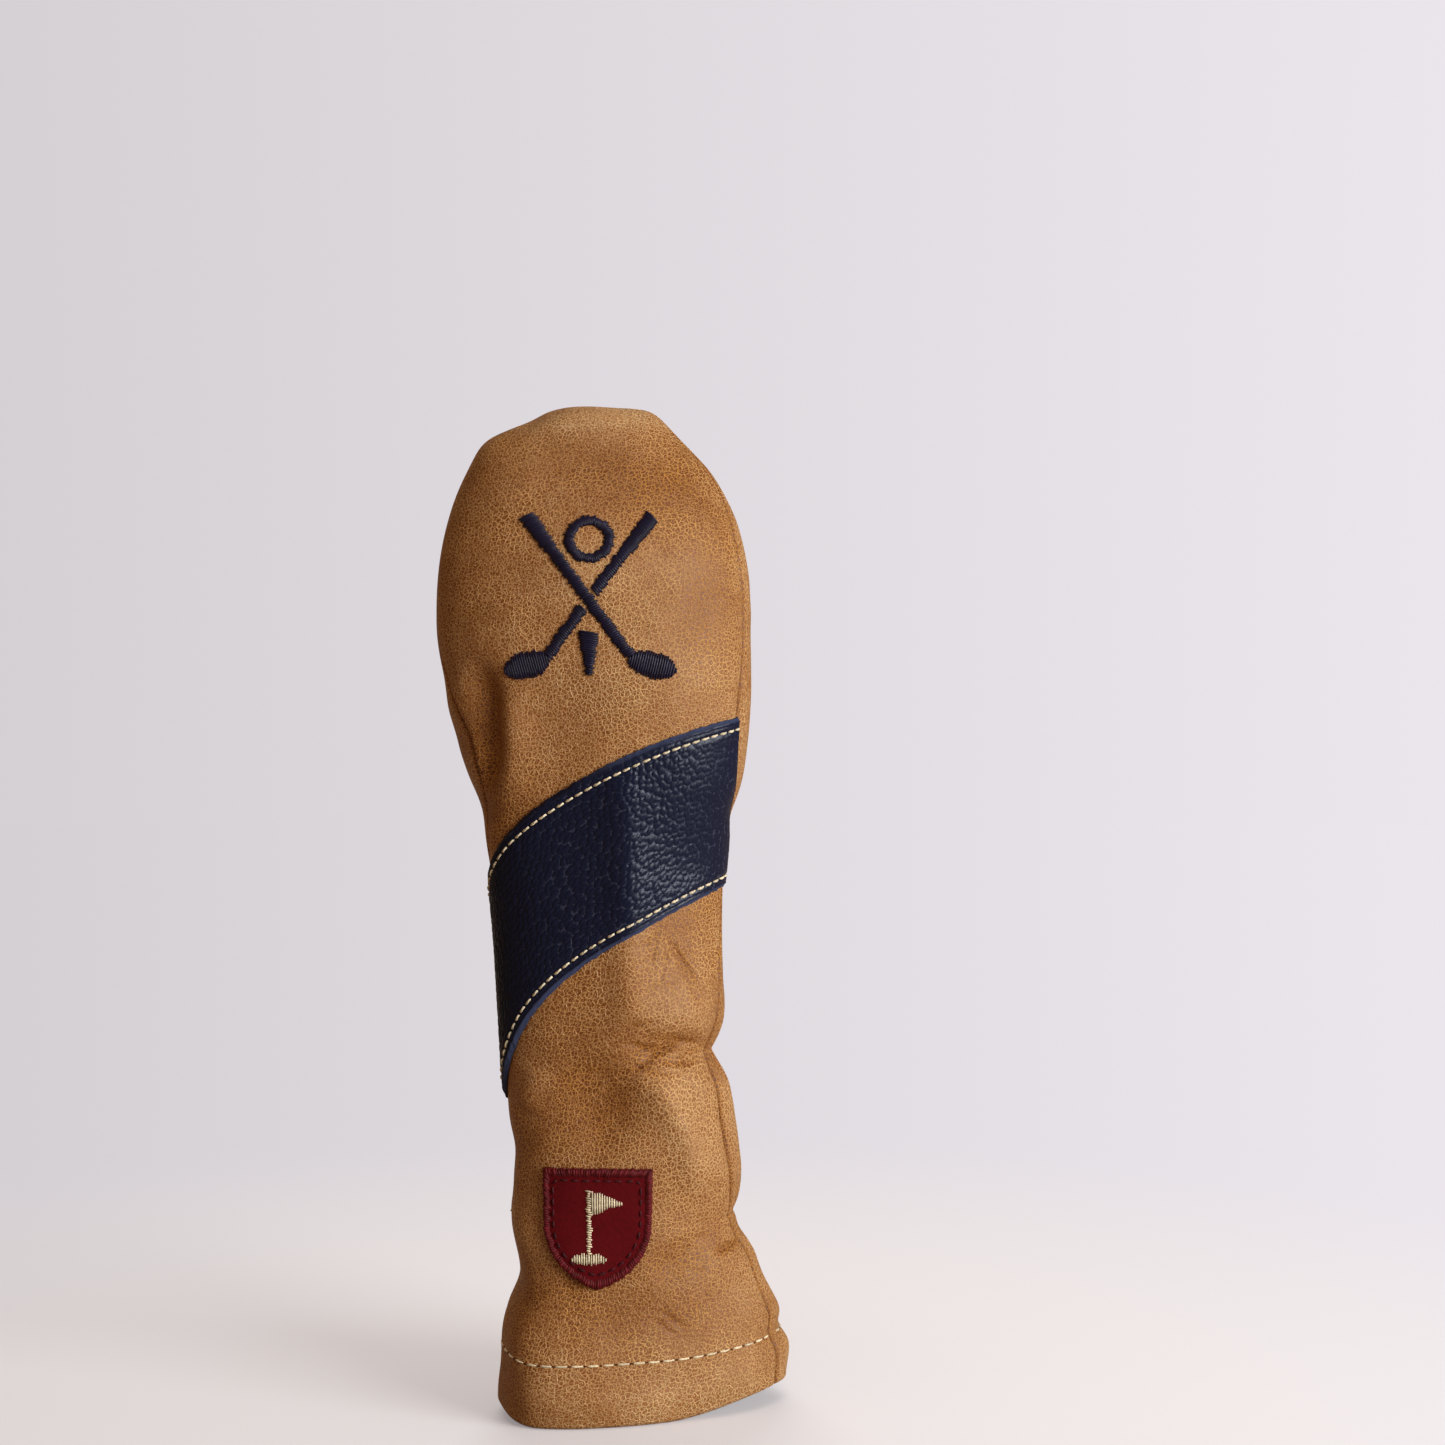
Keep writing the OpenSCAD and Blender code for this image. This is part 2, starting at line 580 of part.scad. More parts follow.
module emblem_embroidery() {
    ball = emblem_at(BALL);
    ball_r = emblem_w * BALL_SHARE;
    hole_r = ball_r - emblem_w * RING_SHARE;
    outer = oval_outline(ball, ball_r, ball_r, 0);
    inner = oval_outline(ball, hole_r, hole_r, 0);
    color(NAVY) {
        club(1, false);
        club(-1, true);
        raised_band([outer, outer, inner, inner], [layer_gap, emblem_top, emblem_top, layer_gap]);
        raised_bar(emblem_at(TEE_TOP), emblem_at(TEE_END),
            emblem_w * TEE_TOP_SHARE, emblem_w * TEE_END_SHARE);
    }
}
module emblem_backing() {
    middle = emblem_at([0, 0]);
    depth = leather_t + layer_gap;
    outline = oval_outline(middle, emblem_w / 2, emblem_w / 2, 0);
    color(WHITE) raised_shape(outline, middle, -depth - backing_t, -depth);
}

// Patch: twill inside an overlocked border, a flag on it and the running stitch that holds it
BORDER_SHARES = [0, 0.12, 0.5, 0.88, 1];
patch_centre = [patch_x, patch_z];
module patch_twill() {
    color(RED) raised_shape(shield_outline(border_w + layer_gap / 2), patch_centre, layer_gap, twill_top);
}
module patch_border() {
    lifts = [layer_gap, twill_top, twill_top + border_rise, twill_top, layer_gap];
    color(RED) raised_band([for (s = BORDER_SHARES) shield_outline(border_w * s)], lifts);
}
// Sizes of the flag and the mound under it, as shares of the motif's height.
POLE_SHARE = 0.07;
POLE_PLACE_SHARE = 0.12;
PENNANT_SHARES = [0.5, 0.38];
MOUND_SHARES = [0.28, 0.08];
module patch_motif() {
    low = twill_top + layer_gap;
    high = low + motif_t;
    pole_w = motif_h * POLE_SHARE;
    pennant_size = motif_h * PENNANT_SHARES;
    mound_size = motif_h * MOUND_SHARES;
    foot = patch_centre + [-motif_h * POLE_PLACE_SHARE, motif_rise - motif_h / 2];
    pole_top = foot + [0, motif_h];
    hoist = pole_top + [pole_w / 2 + layer_gap, 0];
    function on_pennant(along, down) = hoist + [pennant_size[0] * along, -pennant_size[1] * down];
    tip = on_pennant(1, 1 / 2);
    pennant = [on_pennant(0, 1), on_pennant(1 / 2, 3 / 4), tip, on_pennant(1 / 2, 1 / 4), hoist];
    mound = foot - [0, mound_size[1] + layer_gap];
    color(CREAM) {
        raised_shape(bar_outline(foot, pole_top, pole_w, pole_w), (foot + pole_top) / 2, low, high);
        raised_shape(pennant, on_pennant(1 / 3, 1 / 2), low, high);
        raised_shape(oval_outline(mound, mound_size[0], mound_size[1], 0), mound, low, high);
    }
}
module patch_stitching() {
    outline = shield_outline(border_w + patch_inset);
    line = [for (i = [0:len(outline)]) on_front(outline[i % len(outline)], twill_top)];
    color(DARK_RED) stitch_line(line, stripe_pitch, stripe_stitch);
}

front_panel();
rear_crown_panel();
rear_neck_panel();
front_lining();
rear_crown_lining();
rear_neck_lining();
upper_elastic();
lower_elastic();
upper_elastic_stitching();
lower_elastic_stitching();
stripe();
stripe_upper_stitching();
stripe_lower_stitching();
front_hem_stitching();
rear_hem_stitching();
crown_seam_stitching();
emblem_embroidery();
emblem_backing();
patch_twill();
patch_border();
patch_motif();
patch_stitching();
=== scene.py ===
"""Leather headcover for a hybrid golf club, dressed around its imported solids.

The forms are worked out in millimetres, as the solids are, and become metres when a mesh is made.
"""
import logging
import math
from dataclasses import dataclass, field
from enum import Enum

import bpy
import numpy as np
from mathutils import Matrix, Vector


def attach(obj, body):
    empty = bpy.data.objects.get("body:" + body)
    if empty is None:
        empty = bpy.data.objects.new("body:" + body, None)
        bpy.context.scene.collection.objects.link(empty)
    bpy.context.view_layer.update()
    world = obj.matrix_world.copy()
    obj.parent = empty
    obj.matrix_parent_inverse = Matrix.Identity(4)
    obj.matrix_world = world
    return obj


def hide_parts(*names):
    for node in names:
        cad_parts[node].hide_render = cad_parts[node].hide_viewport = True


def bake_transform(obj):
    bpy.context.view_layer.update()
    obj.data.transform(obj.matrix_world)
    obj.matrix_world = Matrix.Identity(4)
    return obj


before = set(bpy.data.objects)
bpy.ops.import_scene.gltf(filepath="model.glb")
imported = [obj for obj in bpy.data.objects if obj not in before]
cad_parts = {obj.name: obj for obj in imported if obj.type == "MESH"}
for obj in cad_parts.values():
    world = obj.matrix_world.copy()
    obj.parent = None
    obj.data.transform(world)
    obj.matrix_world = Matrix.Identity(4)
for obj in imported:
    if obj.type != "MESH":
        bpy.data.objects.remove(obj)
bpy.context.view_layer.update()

LOG = logging.getLogger("headcover")
MM = 0.001
Array = np.ndarray
Place = tuple[float, float]
Colour = tuple[float, float, float]
Piece = bpy.types.Object
Socket = bpy.types.NodeSocket
WRINKLE_W = 1.3


class Panel(Enum):
    """The two panels of the sleeve, with the side of the seams on which each lies."""

    FRONT = -1
    REAR = 1


class Body(Enum):
    """The bodies that pieces move with."""

    COVER = "cover"
    REAR_NECK = "rear_neck"


def mix(a: Array | float, b: Array | float, t: Array | float) -> Array | float:
    """Returns the value a share t of the way from a to b."""
    return a + (b - a) * t


def eased(t: Array | float) -> Array | float:
    """Returns a share from 0 to 1 with a soft start and end."""
    t = np.clip(t, 0, 1)
    return t * t * (3 - 2 * t)


def shares(count: int, ease: float = 0.0) -> Array:
    """Returns count + 1 shares from 0 to 1, closer together near the ends as ease goes to 1."""
    t = np.linspace(0, 1, count + 1)
    return mix(t, (1 - np.cos(np.pi * t)) / 2, ease)


def unit(v: Array) -> Array:
    """Returns vectors of length 1."""
    return v / np.maximum(np.linalg.norm(v, axis=-1, keepdims=True), 1e-12)


def bell(d: Array, width: float) -> Array:
    """Returns a share that falls from 1 at d = 0 to nearly 0 at twice the width."""
    return np.exp(-((d / width) ** 2))


def oval(x: Array, z: Array, middle: Place, radii: Place) -> Array:
    """Returns a share that falls from 1 in an oval's middle to nearly 0 at twice its radii."""
    u, v = (x - middle[0]) / radii[0], (z - middle[1]) / radii[1]
    return np.exp(-(u * u + v * v))


def run_along(points: Array) -> Array:
    """Returns how far each point lies along the line that they make."""
    return np.concatenate([[0], np.cumsum(np.linalg.norm(np.diff(points, axis=0), axis=1))])


def at_distances(d: Array, along: Array, values: Array) -> Array:
    """Returns the values of a line's points at the distances d along it."""
    return np.stack([np.interp(d, along, column) for column in values.T], axis=-1)


def tinted(colour: Colour, share: float) -> Colour:
    """Returns a darker or brighter colour."""
    return tuple(share * c for c in colour)


class SoftNoise:
    """Smooth random heights over a plane, the same on each run."""

    count = 64

    def __init__(self, seed: int, size: float) -> None:
        """Draws the heights.

        Args:
            seed: Start of the random draws.
            size: Distance from one height to the next, in millimetres.
        """
        self.size = size
        self.heights = np.random.default_rng(seed).uniform(-1, 1, (self.count, self.count))

    def __call__(self, x: Array, z: Array) -> Array:
        """Reads the heights.

        Args:
            x: Places across, in millimetres.
            z: Places upwards.

        Returns:
            Heights from -1 to 1.
        """
        u, v = np.asarray(x) / self.size, np.asarray(z) / self.size
        i, j = np.floor(u).astype(int), np.floor(v).astype(int)
        s, t = eased(u - i), eased(v - j)
        low = mix(self.drawn(i, j), self.drawn(i + 1, j), s)
        return mix(low, mix(self.drawn(i, j + 1), self.drawn(i + 1, j + 1), s), t)

    def drawn(self, i: Array, j: Array) -> Array:
        """Returns the heights that were drawn for the squares i, j."""
        return self.heights[i % self.count, j % self.count]


class Pebbles:
    """Rounded cells of pebbled leather over a plane, the same on each run."""

    count = 128
    crease_w = 0.28

    def __init__(self, seed: int, size: float) -> None:
        """Draws one point in each square.

        Args:
            seed: Start of the random draws.
            size: Size of a cell, in millimetres.
        """
        self.size = size
        self.points = np.random.default_rng(seed).uniform(0.08, 0.92, (self.count, self.count, 2))

    def __call__(self, x: Array, z: Array) -> Array:
        """Works out the pebbles' heights.

        Args:
            x: Places across, in millimetres.
            z: Places upwards.

        Returns:
            Heights from 0 in the creases to 1 on the pebbles.
        """
        u, v = np.asarray(x) / self.size, np.asarray(z) / self.size
        i, j = np.floor(u).astype(int), np.floor(v).astype(int)
        first = np.full(u.shape, 9.0)
        second = np.full(u.shape, 9.0)
        for a in (-1, 0, 1):
            for b in (-1, 0, 1):
                p = self.points[(i + a) % self.count, (j + b) % self.count]
                d = np.hypot(i + a + p[..., 0] - u, j + b + p[..., 1] - v)
                second = np.minimum(second, np.maximum(first, d))
                first = np.minimum(first, d)
        flank, dome = eased((second - first) / self.crease_w), np.clip(1 - 1.6 * first**2, 0, 1)
        return 0.55 * flank + 0.45 * dome


@dataclass(frozen=True)
class Crease:
    """A soft line pressed into the leather, or raised where its depth is below 0.

    The points are places x, z seen from the front, in millimetres, as are the depth and half width.
    """

    points: tuple[Place, ...]
    depth: float
    width: float
    fade: float = 0.3

    @property
    def fine(self) -> bool:
        """Returns whether the line is a wrinkle, which gets painted shade along it."""
        return self.width < WRINKLE_W

    def pressed(self, x: Array, z: Array) -> Array:
        """Works out how far the leather is pressed in.

        Args:
            x: Places across.
            z: Heights.

        Returns:
            Depths, below 0 where the leather is raised.
        """
        runs = [math.dist(a, b) for a, b in zip(self.points, self.points[1:])]
        total, start = sum(runs), 0.0
        nearest, along = np.full(x.shape, 1e9), np.zeros(x.shape)
        for (a, b), run in zip(zip(self.points, self.points[1:]), runs):
            dx, dz = (b[0] - a[0]) / run, (b[1] - a[1]) / run
            s = np.clip((x - a[0]) * dx + (z - a[1]) * dz, 0, run)
            d = np.hypot(x - a[0] - s * dx, z - a[1] - s * dz)
            along = np.where(d < nearest, (start + s) / total, along)
            nearest = np.minimum(nearest, d)
            start += run
        ends = eased(along / self.fade) * eased((1 - along) / self.fade) if self.fade else 1
        return self.depth * bell(nearest, self.width) * ends


@dataclass(frozen=True)
class Dent:
    """A broad oval hollow, or a swelling where its depth is below 0, by place x, z and radii."""

    middle: Place
    radii: Place
    depth: float
    fine: bool = False

    def pressed(self, x: Array, z: Array) -> Array:
        """Returns how far the leather at the places x, z is pressed in."""
        return self.depth * oval(x, z, self.middle, self.radii)


def wrinkle_fan(centre: Place, reach: Place, angles: Place, count: int, depth: float) -> tuple[Crease, ...]:
    """Fine wrinkles that spread from a drawn-in place.

    Args:
        centre: Place that the wrinkles spread from.
        reach: Nearest and furthest distance of a wrinkle from it.
        angles: First and last direction, in degrees from +X towards +Z.
        count: How many wrinkles there are.
        depth: Depth of the deepest one.

    Returns:
        The wrinkles.
    """
    draw = np.random.default_rng(count)
    fan = []
    for i in range(count):
        angle = math.radians(mix(angles[0], angles[1], (i + draw.uniform(-0.3, 0.3)) / (count - 1)))
        share = draw.uniform(0, 0.6)
        near = mix(reach[0], reach[1], share)
        far = mix(reach[0], reach[1], min(1, share + draw.uniform(0.25, 0.5)))
        bend = draw.uniform(-0.12, 0.12)
        line = [(r, angle + bend * s) for s, r in zip((-1, 0, 1), np.linspace(near, far, 3))]
        points = tuple((centre[0] + r * math.cos(a), centre[1] + r * math.sin(a)) for r, a in line)
        fan.append(Crease(points, depth * draw.uniform(0.5, 1), draw.uniform(0.5, 0.8)))
    return tuple(fan)


SHARED_FOLDS = (
    Dent((-36, 284), (12, 9), 1.5),
    Dent((4, 285), (5, 5), -1.0),
    Dent((-19, 288), (10, 8), -0.7),
    Dent((-45, 274), (6, 6), -1.0),
    Dent((-32, 286), (7, 6), 0.9),
    Dent((43, 18.5), (8, 4.5), 2.6),
    Dent((13, 274), (10, 13), 1.8),
    Dent((-46, 171), (6, 9), 1.6),
    Dent((-52, 199), (5, 7), -1.0),
    Dent((27, 168), (5, 6), 1.2),
    Dent((23, 100), (9, 6), 1.3),
    Dent((31, 72), (8, 9), -0.8),
    Dent((30, 49), (7, 4), 1.4),
    Dent((-37, 74), (6, 6), 1.1),
    Dent((-36, 54), (6, 7), -1.2),
    Dent((-35, 37), (6, 7), 1.7),
    Dent((-41, 14), (8, 9), 1.2),
)
FRONT_FOLDS = (
    Crease(((-46, 214), (-42.5, 201), (-41.5, 188), (-42, 172)), 3.4, 4.0),
    Crease(((-36, 206), (-35.5, 190), (-38, 168)), -1.5, 5.5),
    Dent((-17, 270), (26, 9), 1.2),
    Dent((-34, 262), (9, 12), -0.8),
    Dent((-14, 236), (20, 10), -1.2),
    Dent((15, 262), (9, 12), 0.8),
    Dent((2, 207), (16, 11), -1.3),
    Dent((-24, 196), (13, 12), 1.0),
    Crease(((-5, 188), (-4, 160), (-3, 128), (-3, 100)), -1.4, 5.0, 0.2),
    Dent((13, 150), (9, 28), 1.2),
    Dent((14, 115), (10, 8), -1.4),
    Crease(((7, 136), (13, 127), (19, 117)), 0.45, 0.8),
    Crease(((9, 132), (14, 122), (17, 113)), 0.3, 0.9),
    Crease(((-5, 101), (6, 91), (12, 79), (16, 66), (17, 58)), -2.2, 4.6),
    Crease(((-2, 100), (6, 91), (12, 79), (16, 66), (17, 58)), -1.4, 11.0),
    Crease(((-14, 104), (-12, 90), (-4, 74)), 2.2, 10.0),
    Crease(((26, 104), (10, 103.5), (-7, 102)), 1.3, 2.8),
    Crease(((20, 111), (8, 112), (-4, 108)), -0.9, 4.0),
    Crease(((-27, 99), (-30, 93), (-33, 85)), -0.9, 3.6),
    Crease(((-33, 40), (-24, 41), (-14, 38)), 1.0, 4.5),
    Crease(((28, 51), (20, 50), (10, 44), (2, 40)), 1.5, 5.0),
    Crease(((33, 50), (27, 46.5), (20, 45)), 1.0, 1.2),
    Crease(((6, 32), (10, 28), (14, 25.5)), 0.35, 0.8),
    Crease(((4, 29.5), (8, 26), (11, 24)), 0.3, 0.7),
    Crease(((-36, 7), (-10, 6), (20, 6), (36, 9)), -0.9, 5.0, 0.1),
    Dent((-12, 33), (16, 7), 0.9),
    *wrinkle_fan((32, 103), (10, 42), (166, 195), 34, 0.42),
    *wrinkle_fan((24, 101), (10, 26), (200, 232), 8, 0.24),
    *wrinkle_fan((31, 48), (8, 24), (170, 205), 9, 0.3),
    *wrinkle_fan((20, 150), (17, 36), (222, 250), 11, 0.28),
)
REAR_FOLDS = (
    Dent((-14, 262), (26, 14), 1.0),
    Dent((-28, 215), (14, 18), 1.2),
    Dent((6, 205), (13, 20), 1.0),
    Crease(((24, 196), (12, 182), (2, 165), (-2, 140)), 1.4, 5.5),
    Crease(((-46, 190), (-34, 176), (-24, 158), (-20, 136)), 1.2, 5.0),
    Crease(((-8, 175), (-9, 150), (-8, 124)), -1.0, 6.0),
    Crease(((-12, 44), (-8, 34), (-6, 26)), 0.9, 3.2),
    Crease(((14, 44), (12, 34), (13, 26)), 0.8, 3.0),
)
OWN_FOLDS = {Panel.FRONT: FRONT_FOLDS, Panel.REAR: REAR_FOLDS}


@dataclass(frozen=True)
class Level:
    """One section of the sleeve: height, width, lean, depths, angle and its seams' places in degrees."""

    height: float
    width: float
    lean: float
    front: float
    rear: float
    angle: float
    left_seam: float
    right_seam: float


@dataclass
class SleeveForm:
    """The leather's outer face, in millimetres, as the solids give it, with its soft folds.

    A place on a panel is a height z and a share t across, from the right seam to the left on the front
    and from the left seam to the right on the rear.
    """

    total_h: float = 285
    ridge_w: float = 16
    crown_z: float = 224
    left_shoulder: float = 2.2
    right_shoulder: float = 2.0
    seam_gap: float = 0.1
    roll_r: float = 1.9
    pucker_d: float = 0.35
    pucker_w: float = 5
    lower_gather_z: float = 54
    upper_gather_z: float = 101
    gather_d: float = 6.5
    gather_reach: float = 16
    pleat_d: float = 0.95
    pleat_pitch: float = 7.5
    pleat_reach: float = 0.62
    pleat_sway: float = 2.2
    pleat_fade: float = 0.12
    undulation_d: float = 0.42
    ripple_d: float = 0.1
    fullness: float = 0.8
    full_from: float = 165
    full_over: float = 50
    left_fullness: float = 0.55
    left_full_over: float = 0.6
    hem_fullness: float = 0.62
    hem_full_h: float = 34
    hem_lift: float = 5.2
    hem_lift_from: float = 8
    hem_lift_over: float = 34
    hem_lift_h: float = 34
    hem_curl: float = 4.2
    hem_curl_from: float = 27
    hem_curl_over: float = 15
    hem_curl_h: float = 18
    hem_curl_fade: float = 42
    fold_margin: float = 7
    levels: tuple[Level, ...] = (
        Level(0, 84, 0, 24, 26, 20, -18, 32),
        Level(17.5, 85.5, 1, 24, 26, 20, -14, 35),
        Level(40, 70, -1.5, 23, 25.5, 10, -4, 22),
        Level(86, 64.5, -6, 22, 25, 0, 6, 26),
        Level(150, 66.5, -9.5, 22, 25, 0, 8, 6),
        Level(188, 82, -10.5, 25.6, 28.6, 0, 26, 23),
        Level(224, 90, -13.5, 28, 31, 0, 8, 16),
    )
    undulation: SoftNoise = field(default_factory=lambda: SoftNoise(3, 17))
    ripple: SoftNoise = field(default_factory=lambda: SoftNoise(8, 5.5))
    pleat_wander: SoftNoise = field(default_factory=lambda: SoftNoise(5, 16))

    @property
    def gathers(self) -> Place:
        """Returns the heights of the two elastics."""
        return self.lower_gather_z, self.upper_gather_z

    def level(self, z: Array, column: str) -> Array:
        """Reads one column of the levels, on a smooth curve through them.

        Args:
            z: Heights, in millimetres.
            column: Name of the column.

        Returns:
            Its values at the heights.
        """
        h = np.array([k.height for k in self.levels], float)
        v = np.array([getattr(k, column) for k in self.levels], float)
        slope = np.zeros(len(h))
        slope[1:-1] = (v[2:] - v[:-2]) / (h[2:] - h[:-2])
        i = np.clip(np.searchsorted(h, z, side="right") - 1, 0, len(h) - 2)
        run = h[i + 1] - h[i]
        t = np.clip((z - h[i]) / run, 0, 1)
        low = (2 * t**3 - 3 * t**2 + 1) * v[i] + (t**3 - 2 * t**2 + t) * run * slope[i]
        return low + (3 * t**2 - 2 * t**3) * v[i + 1] + (t**3 - t**2) * run * slope[i + 1]

    def rise(self, z: Array) -> Array:
        """Returns how far the crown has closed, from 0 at its widest to 1 at the top seam."""
        return np.clip((z - self.crown_z) / (self.total_h - self.crown_z), 0, 1)

    def arch(self, z: Array, power: float) -> Array:
        """Returns the share of the width or depth that is left as the crown closes."""
        return np.maximum(0, 1 - self.rise(z) ** power) ** (1 / power)

    def sides(self, z: Array) -> tuple[Array, Array]:
        """Finds the two sides of the sleeve.

        Args:
            z: Heights, in millimetres.

        Returns:
            Sideways places of the left and the right side.
        """
        half = self.level(z, "width") / 2
        ridge, lean = self.ridge_w / 2, self.level(z, "lean")
        left = lean - mix(ridge, half, self.arch(z, self.left_shoulder))
        return left, lean + mix(ridge, half, self.arch(z, self.right_shoulder))

    def turn(self, z: Array, t: Array, panel: Panel) -> Array:
        """Finds the turn round the section.

        Args:
            z: Heights, in millimetres.
            t: Shares across the panel.
            panel: Which panel.

        Returns:
            Angles: 0 at the right, a quarter turn at the front, a half turn at the left.
        """
        fade = 1 - self.rise(z) ** 4
        left = np.pi - np.radians(self.level(z, "left_seam")) * fade
        right = np.radians(self.level(z, "right_seam")) * fade
        return mix(right, left, t) if panel is Panel.FRONT else mix(left, 2 * np.pi + right, t)

    def span(self, z: Array) -> Array:
        """Returns about how far it is across a panel, from seam to seam."""
        return self.level(z, "width") + self.level(z, "front")

    def seam_distance(self, z: Array, t: Array) -> Array:
        """Returns about how far a place is from the nearest seam."""
        top = np.arccos(self.rise(z)) / (np.pi / 2) * (self.total_h - self.crown_z)
        return np.minimum(np.minimum(t, 1 - t) * self.span(z), top)

    def rolled(self, z: Array, t: Array) -> Array:
        """Rolls a panel's edges in towards its seams.

        Args:
            z: Heights, in millimetres.
            t: Shares across the panel.

        Returns:
            Distances inwards.
        """
        d = self.seam_distance(z, t)
        edge = np.maximum(0, self.roll_r - d)
        return self.roll_r - np.sqrt(self.roll_r**2 - edge**2) + self.pucker_d * bell(d, self.pucker_w)

    def gather(self, z: Array, turn: Array) -> Array:
        """Returns how far the two elastics draw the leather in."""
        pinch = sum(np.maximum(0, 1 - np.abs(z - at) / self.gather_reach) ** 2 for at in self.gathers)
        return self.gather_d * pinch * np.sqrt((1 - np.sin(turn)) / 2) * (1 + np.cos(turn)) / 2

    def pleats(self, z: Array, t: Array) -> Array:
        """Shapes the small upright folds that the elastics gather in the rear panel.

        Args:
            z: Heights, in millimetres.
            t: Shares across the panel.

        Returns:
            Depths of the folds.
        """
        drawn = sum(bell(z - at, self.gather_reach * self.pleat_reach) for at in self.gathers)
        s = t * self.span(z)
        wave = np.cos(2 * np.pi * s / self.pleat_pitch + self.pleat_sway * self.pleat_wander(s, z))
        return self.pleat_d * drawn * wave * eased(np.minimum(t, 1 - t) / self.pleat_fade)

    def bare(self, z: Array, t: Array, inwards: Array, panel: Panel) -> Array:
        """Places points of the sleeve without its folds.

        Args:
            z: Heights, in millimetres.
            t: Shares across the panel.
            inwards: Distances inwards of the leather's face.
            panel: Which panel.

        Returns:
            The points.
        """
        r, side = self.rise(z), panel.value
        turn = self.turn(z, t, panel)
        out = np.sqrt(1 - r**2)
        inwards = inwards + self.gather(z, turn)
        left, right = self.sides(z)
        sine = np.sin(turn)
        column = np.where(sine > 0, self.level(z, "front"), self.level(z, "rear"))
        deep = column * self.arch(z, 2) - inwards * out
        power = mix(1, self.fullness, eased((z - self.full_from) / self.full_over))
        power = mix(power, self.hem_fullness, eased(1 - z / self.hem_full_h))
        power = mix(power, np.minimum(power, self.left_fullness), eased(-np.cos(turn) / self.left_full_over))
        swell = np.where(sine > 0, np.maximum(sine, 1e-9) ** power, sine)
        x = ((right - left) / 2 - inwards * out) * mix(np.cos(turn), side * (2 * t - 1), r**6)
        y = side * self.seam_gap / 2 - deep * swell
        a = np.radians(self.level(z, "angle"))
        across = (left + right) / 2 + x * np.cos(a) - y * np.sin(a)
        return np.stack([across, x * np.sin(a) + y * np.cos(a), z - inwards * r], axis=-1)

    def folds(self, z: Array, t: Array, panel: Panel) -> Array:
        """Adds up the soft folds.

        Args:
            z: Heights, in millimetres.
            t: Shares across the panel.
            panel: Which panel.

        Returns:
            How far they press the leather in.
        """
        x = self.bare(z, t, np.zeros(np.shape(z)), panel)[..., 0]
        pressed = sum(f.pressed(x, z) for f in OWN_FOLDS[panel])
        pressed = pressed + self.undulation_d * self.undulation(x, z) + self.ripple_d * self.ripple(x, z)
        if panel is Panel.REAR:
            pressed = pressed + self.pleats(z, t)
        near = eased(self.seam_distance(z, t) / self.fold_margin)
        return pressed * near + sum(f.pressed(x, z) for f in SHARED_FOLDS)

    def point(self, z: Array, t: Array, depth: Array | float, panel: Panel) -> Array:
        """Places points of the sleeve.

        Args:
            z: Heights, in millimetres.
            t: Shares across the panel.
            depth: Depths inwards of the leather's face.
            panel: Which panel.

        Returns:
            The points, in millimetres.
        """
        z, t = np.broadcast_arrays(np.asarray(z, float), np.asarray(t, float))
        p = self.bare(z, t, depth + self.rolled(z, t) + self.folds(z, t, panel), panel)
        ramp = self.hem_lift * eased((p[..., 0] - self.hem_lift_from) / self.hem_lift_over)
        p[..., 2] += ramp * np.clip(1 - z / self.hem_lift_h, 0, 1) ** 1.5
        curl = np.clip((-p[..., 0] - self.hem_curl_from) / self.hem_curl_over, 0, 1) ** 2.2
        p[..., 2] += self.hem_curl * curl * eased(1 - (z - self.hem_curl_h) / self.hem_curl_fade)
        return p

    def share_at(self, x: Array, z: Array) -> Array:
        """Finds shares across the front.

        Args:
            x: Sideways places.
            z: Heights, in millimetres.

        Returns:
            The shares.
        """
        left, right = self.sides(z)
        a = np.radians(self.level(z, "angle"))
        wide, deep = (right - left) / 2 * np.cos(a), self.level(z, "front") * np.sin(a)
        reach = np.clip((x - (left + right) / 2) / np.hypot(wide, deep), -1, 1)
        first = self.turn(z, np.zeros(np.shape(z)), Panel.FRONT)
        last = self.turn(z, np.ones(np.shape(z)), Panel.FRONT)
        return (np.arctan2(deep, wide) + np.arccos(reach) - first) / (last - first)

    def on_front(self, places: Array, lift: Array | float) -> Array:
        """Returns points of the front at the places x, z, lifted off the leather."""
        x, z = np.asarray(places, float)[..., 0], np.asarray(places, float)[..., 1]
        return self.point(z, self.share_at(x, z), -np.asarray(lift, float), Panel.FRONT)

    def front_normal(self, places: Array) -> Array:
        """Finds which way the front faces.

        Args:
            places: Places x, z on it.

        Returns:
            Outward directions of length 1.
        """
        step = 0.6
        places = np.asarray(places, float)
        along = self.on_front(places + [step, 0], 0) - self.on_front(places - [step, 0], 0)
        up = self.on_front(places + [0, step], 0) - self.on_front(places - [0, step], 0)
        return unit(np.cross(along, up))


FORM = SleeveForm()


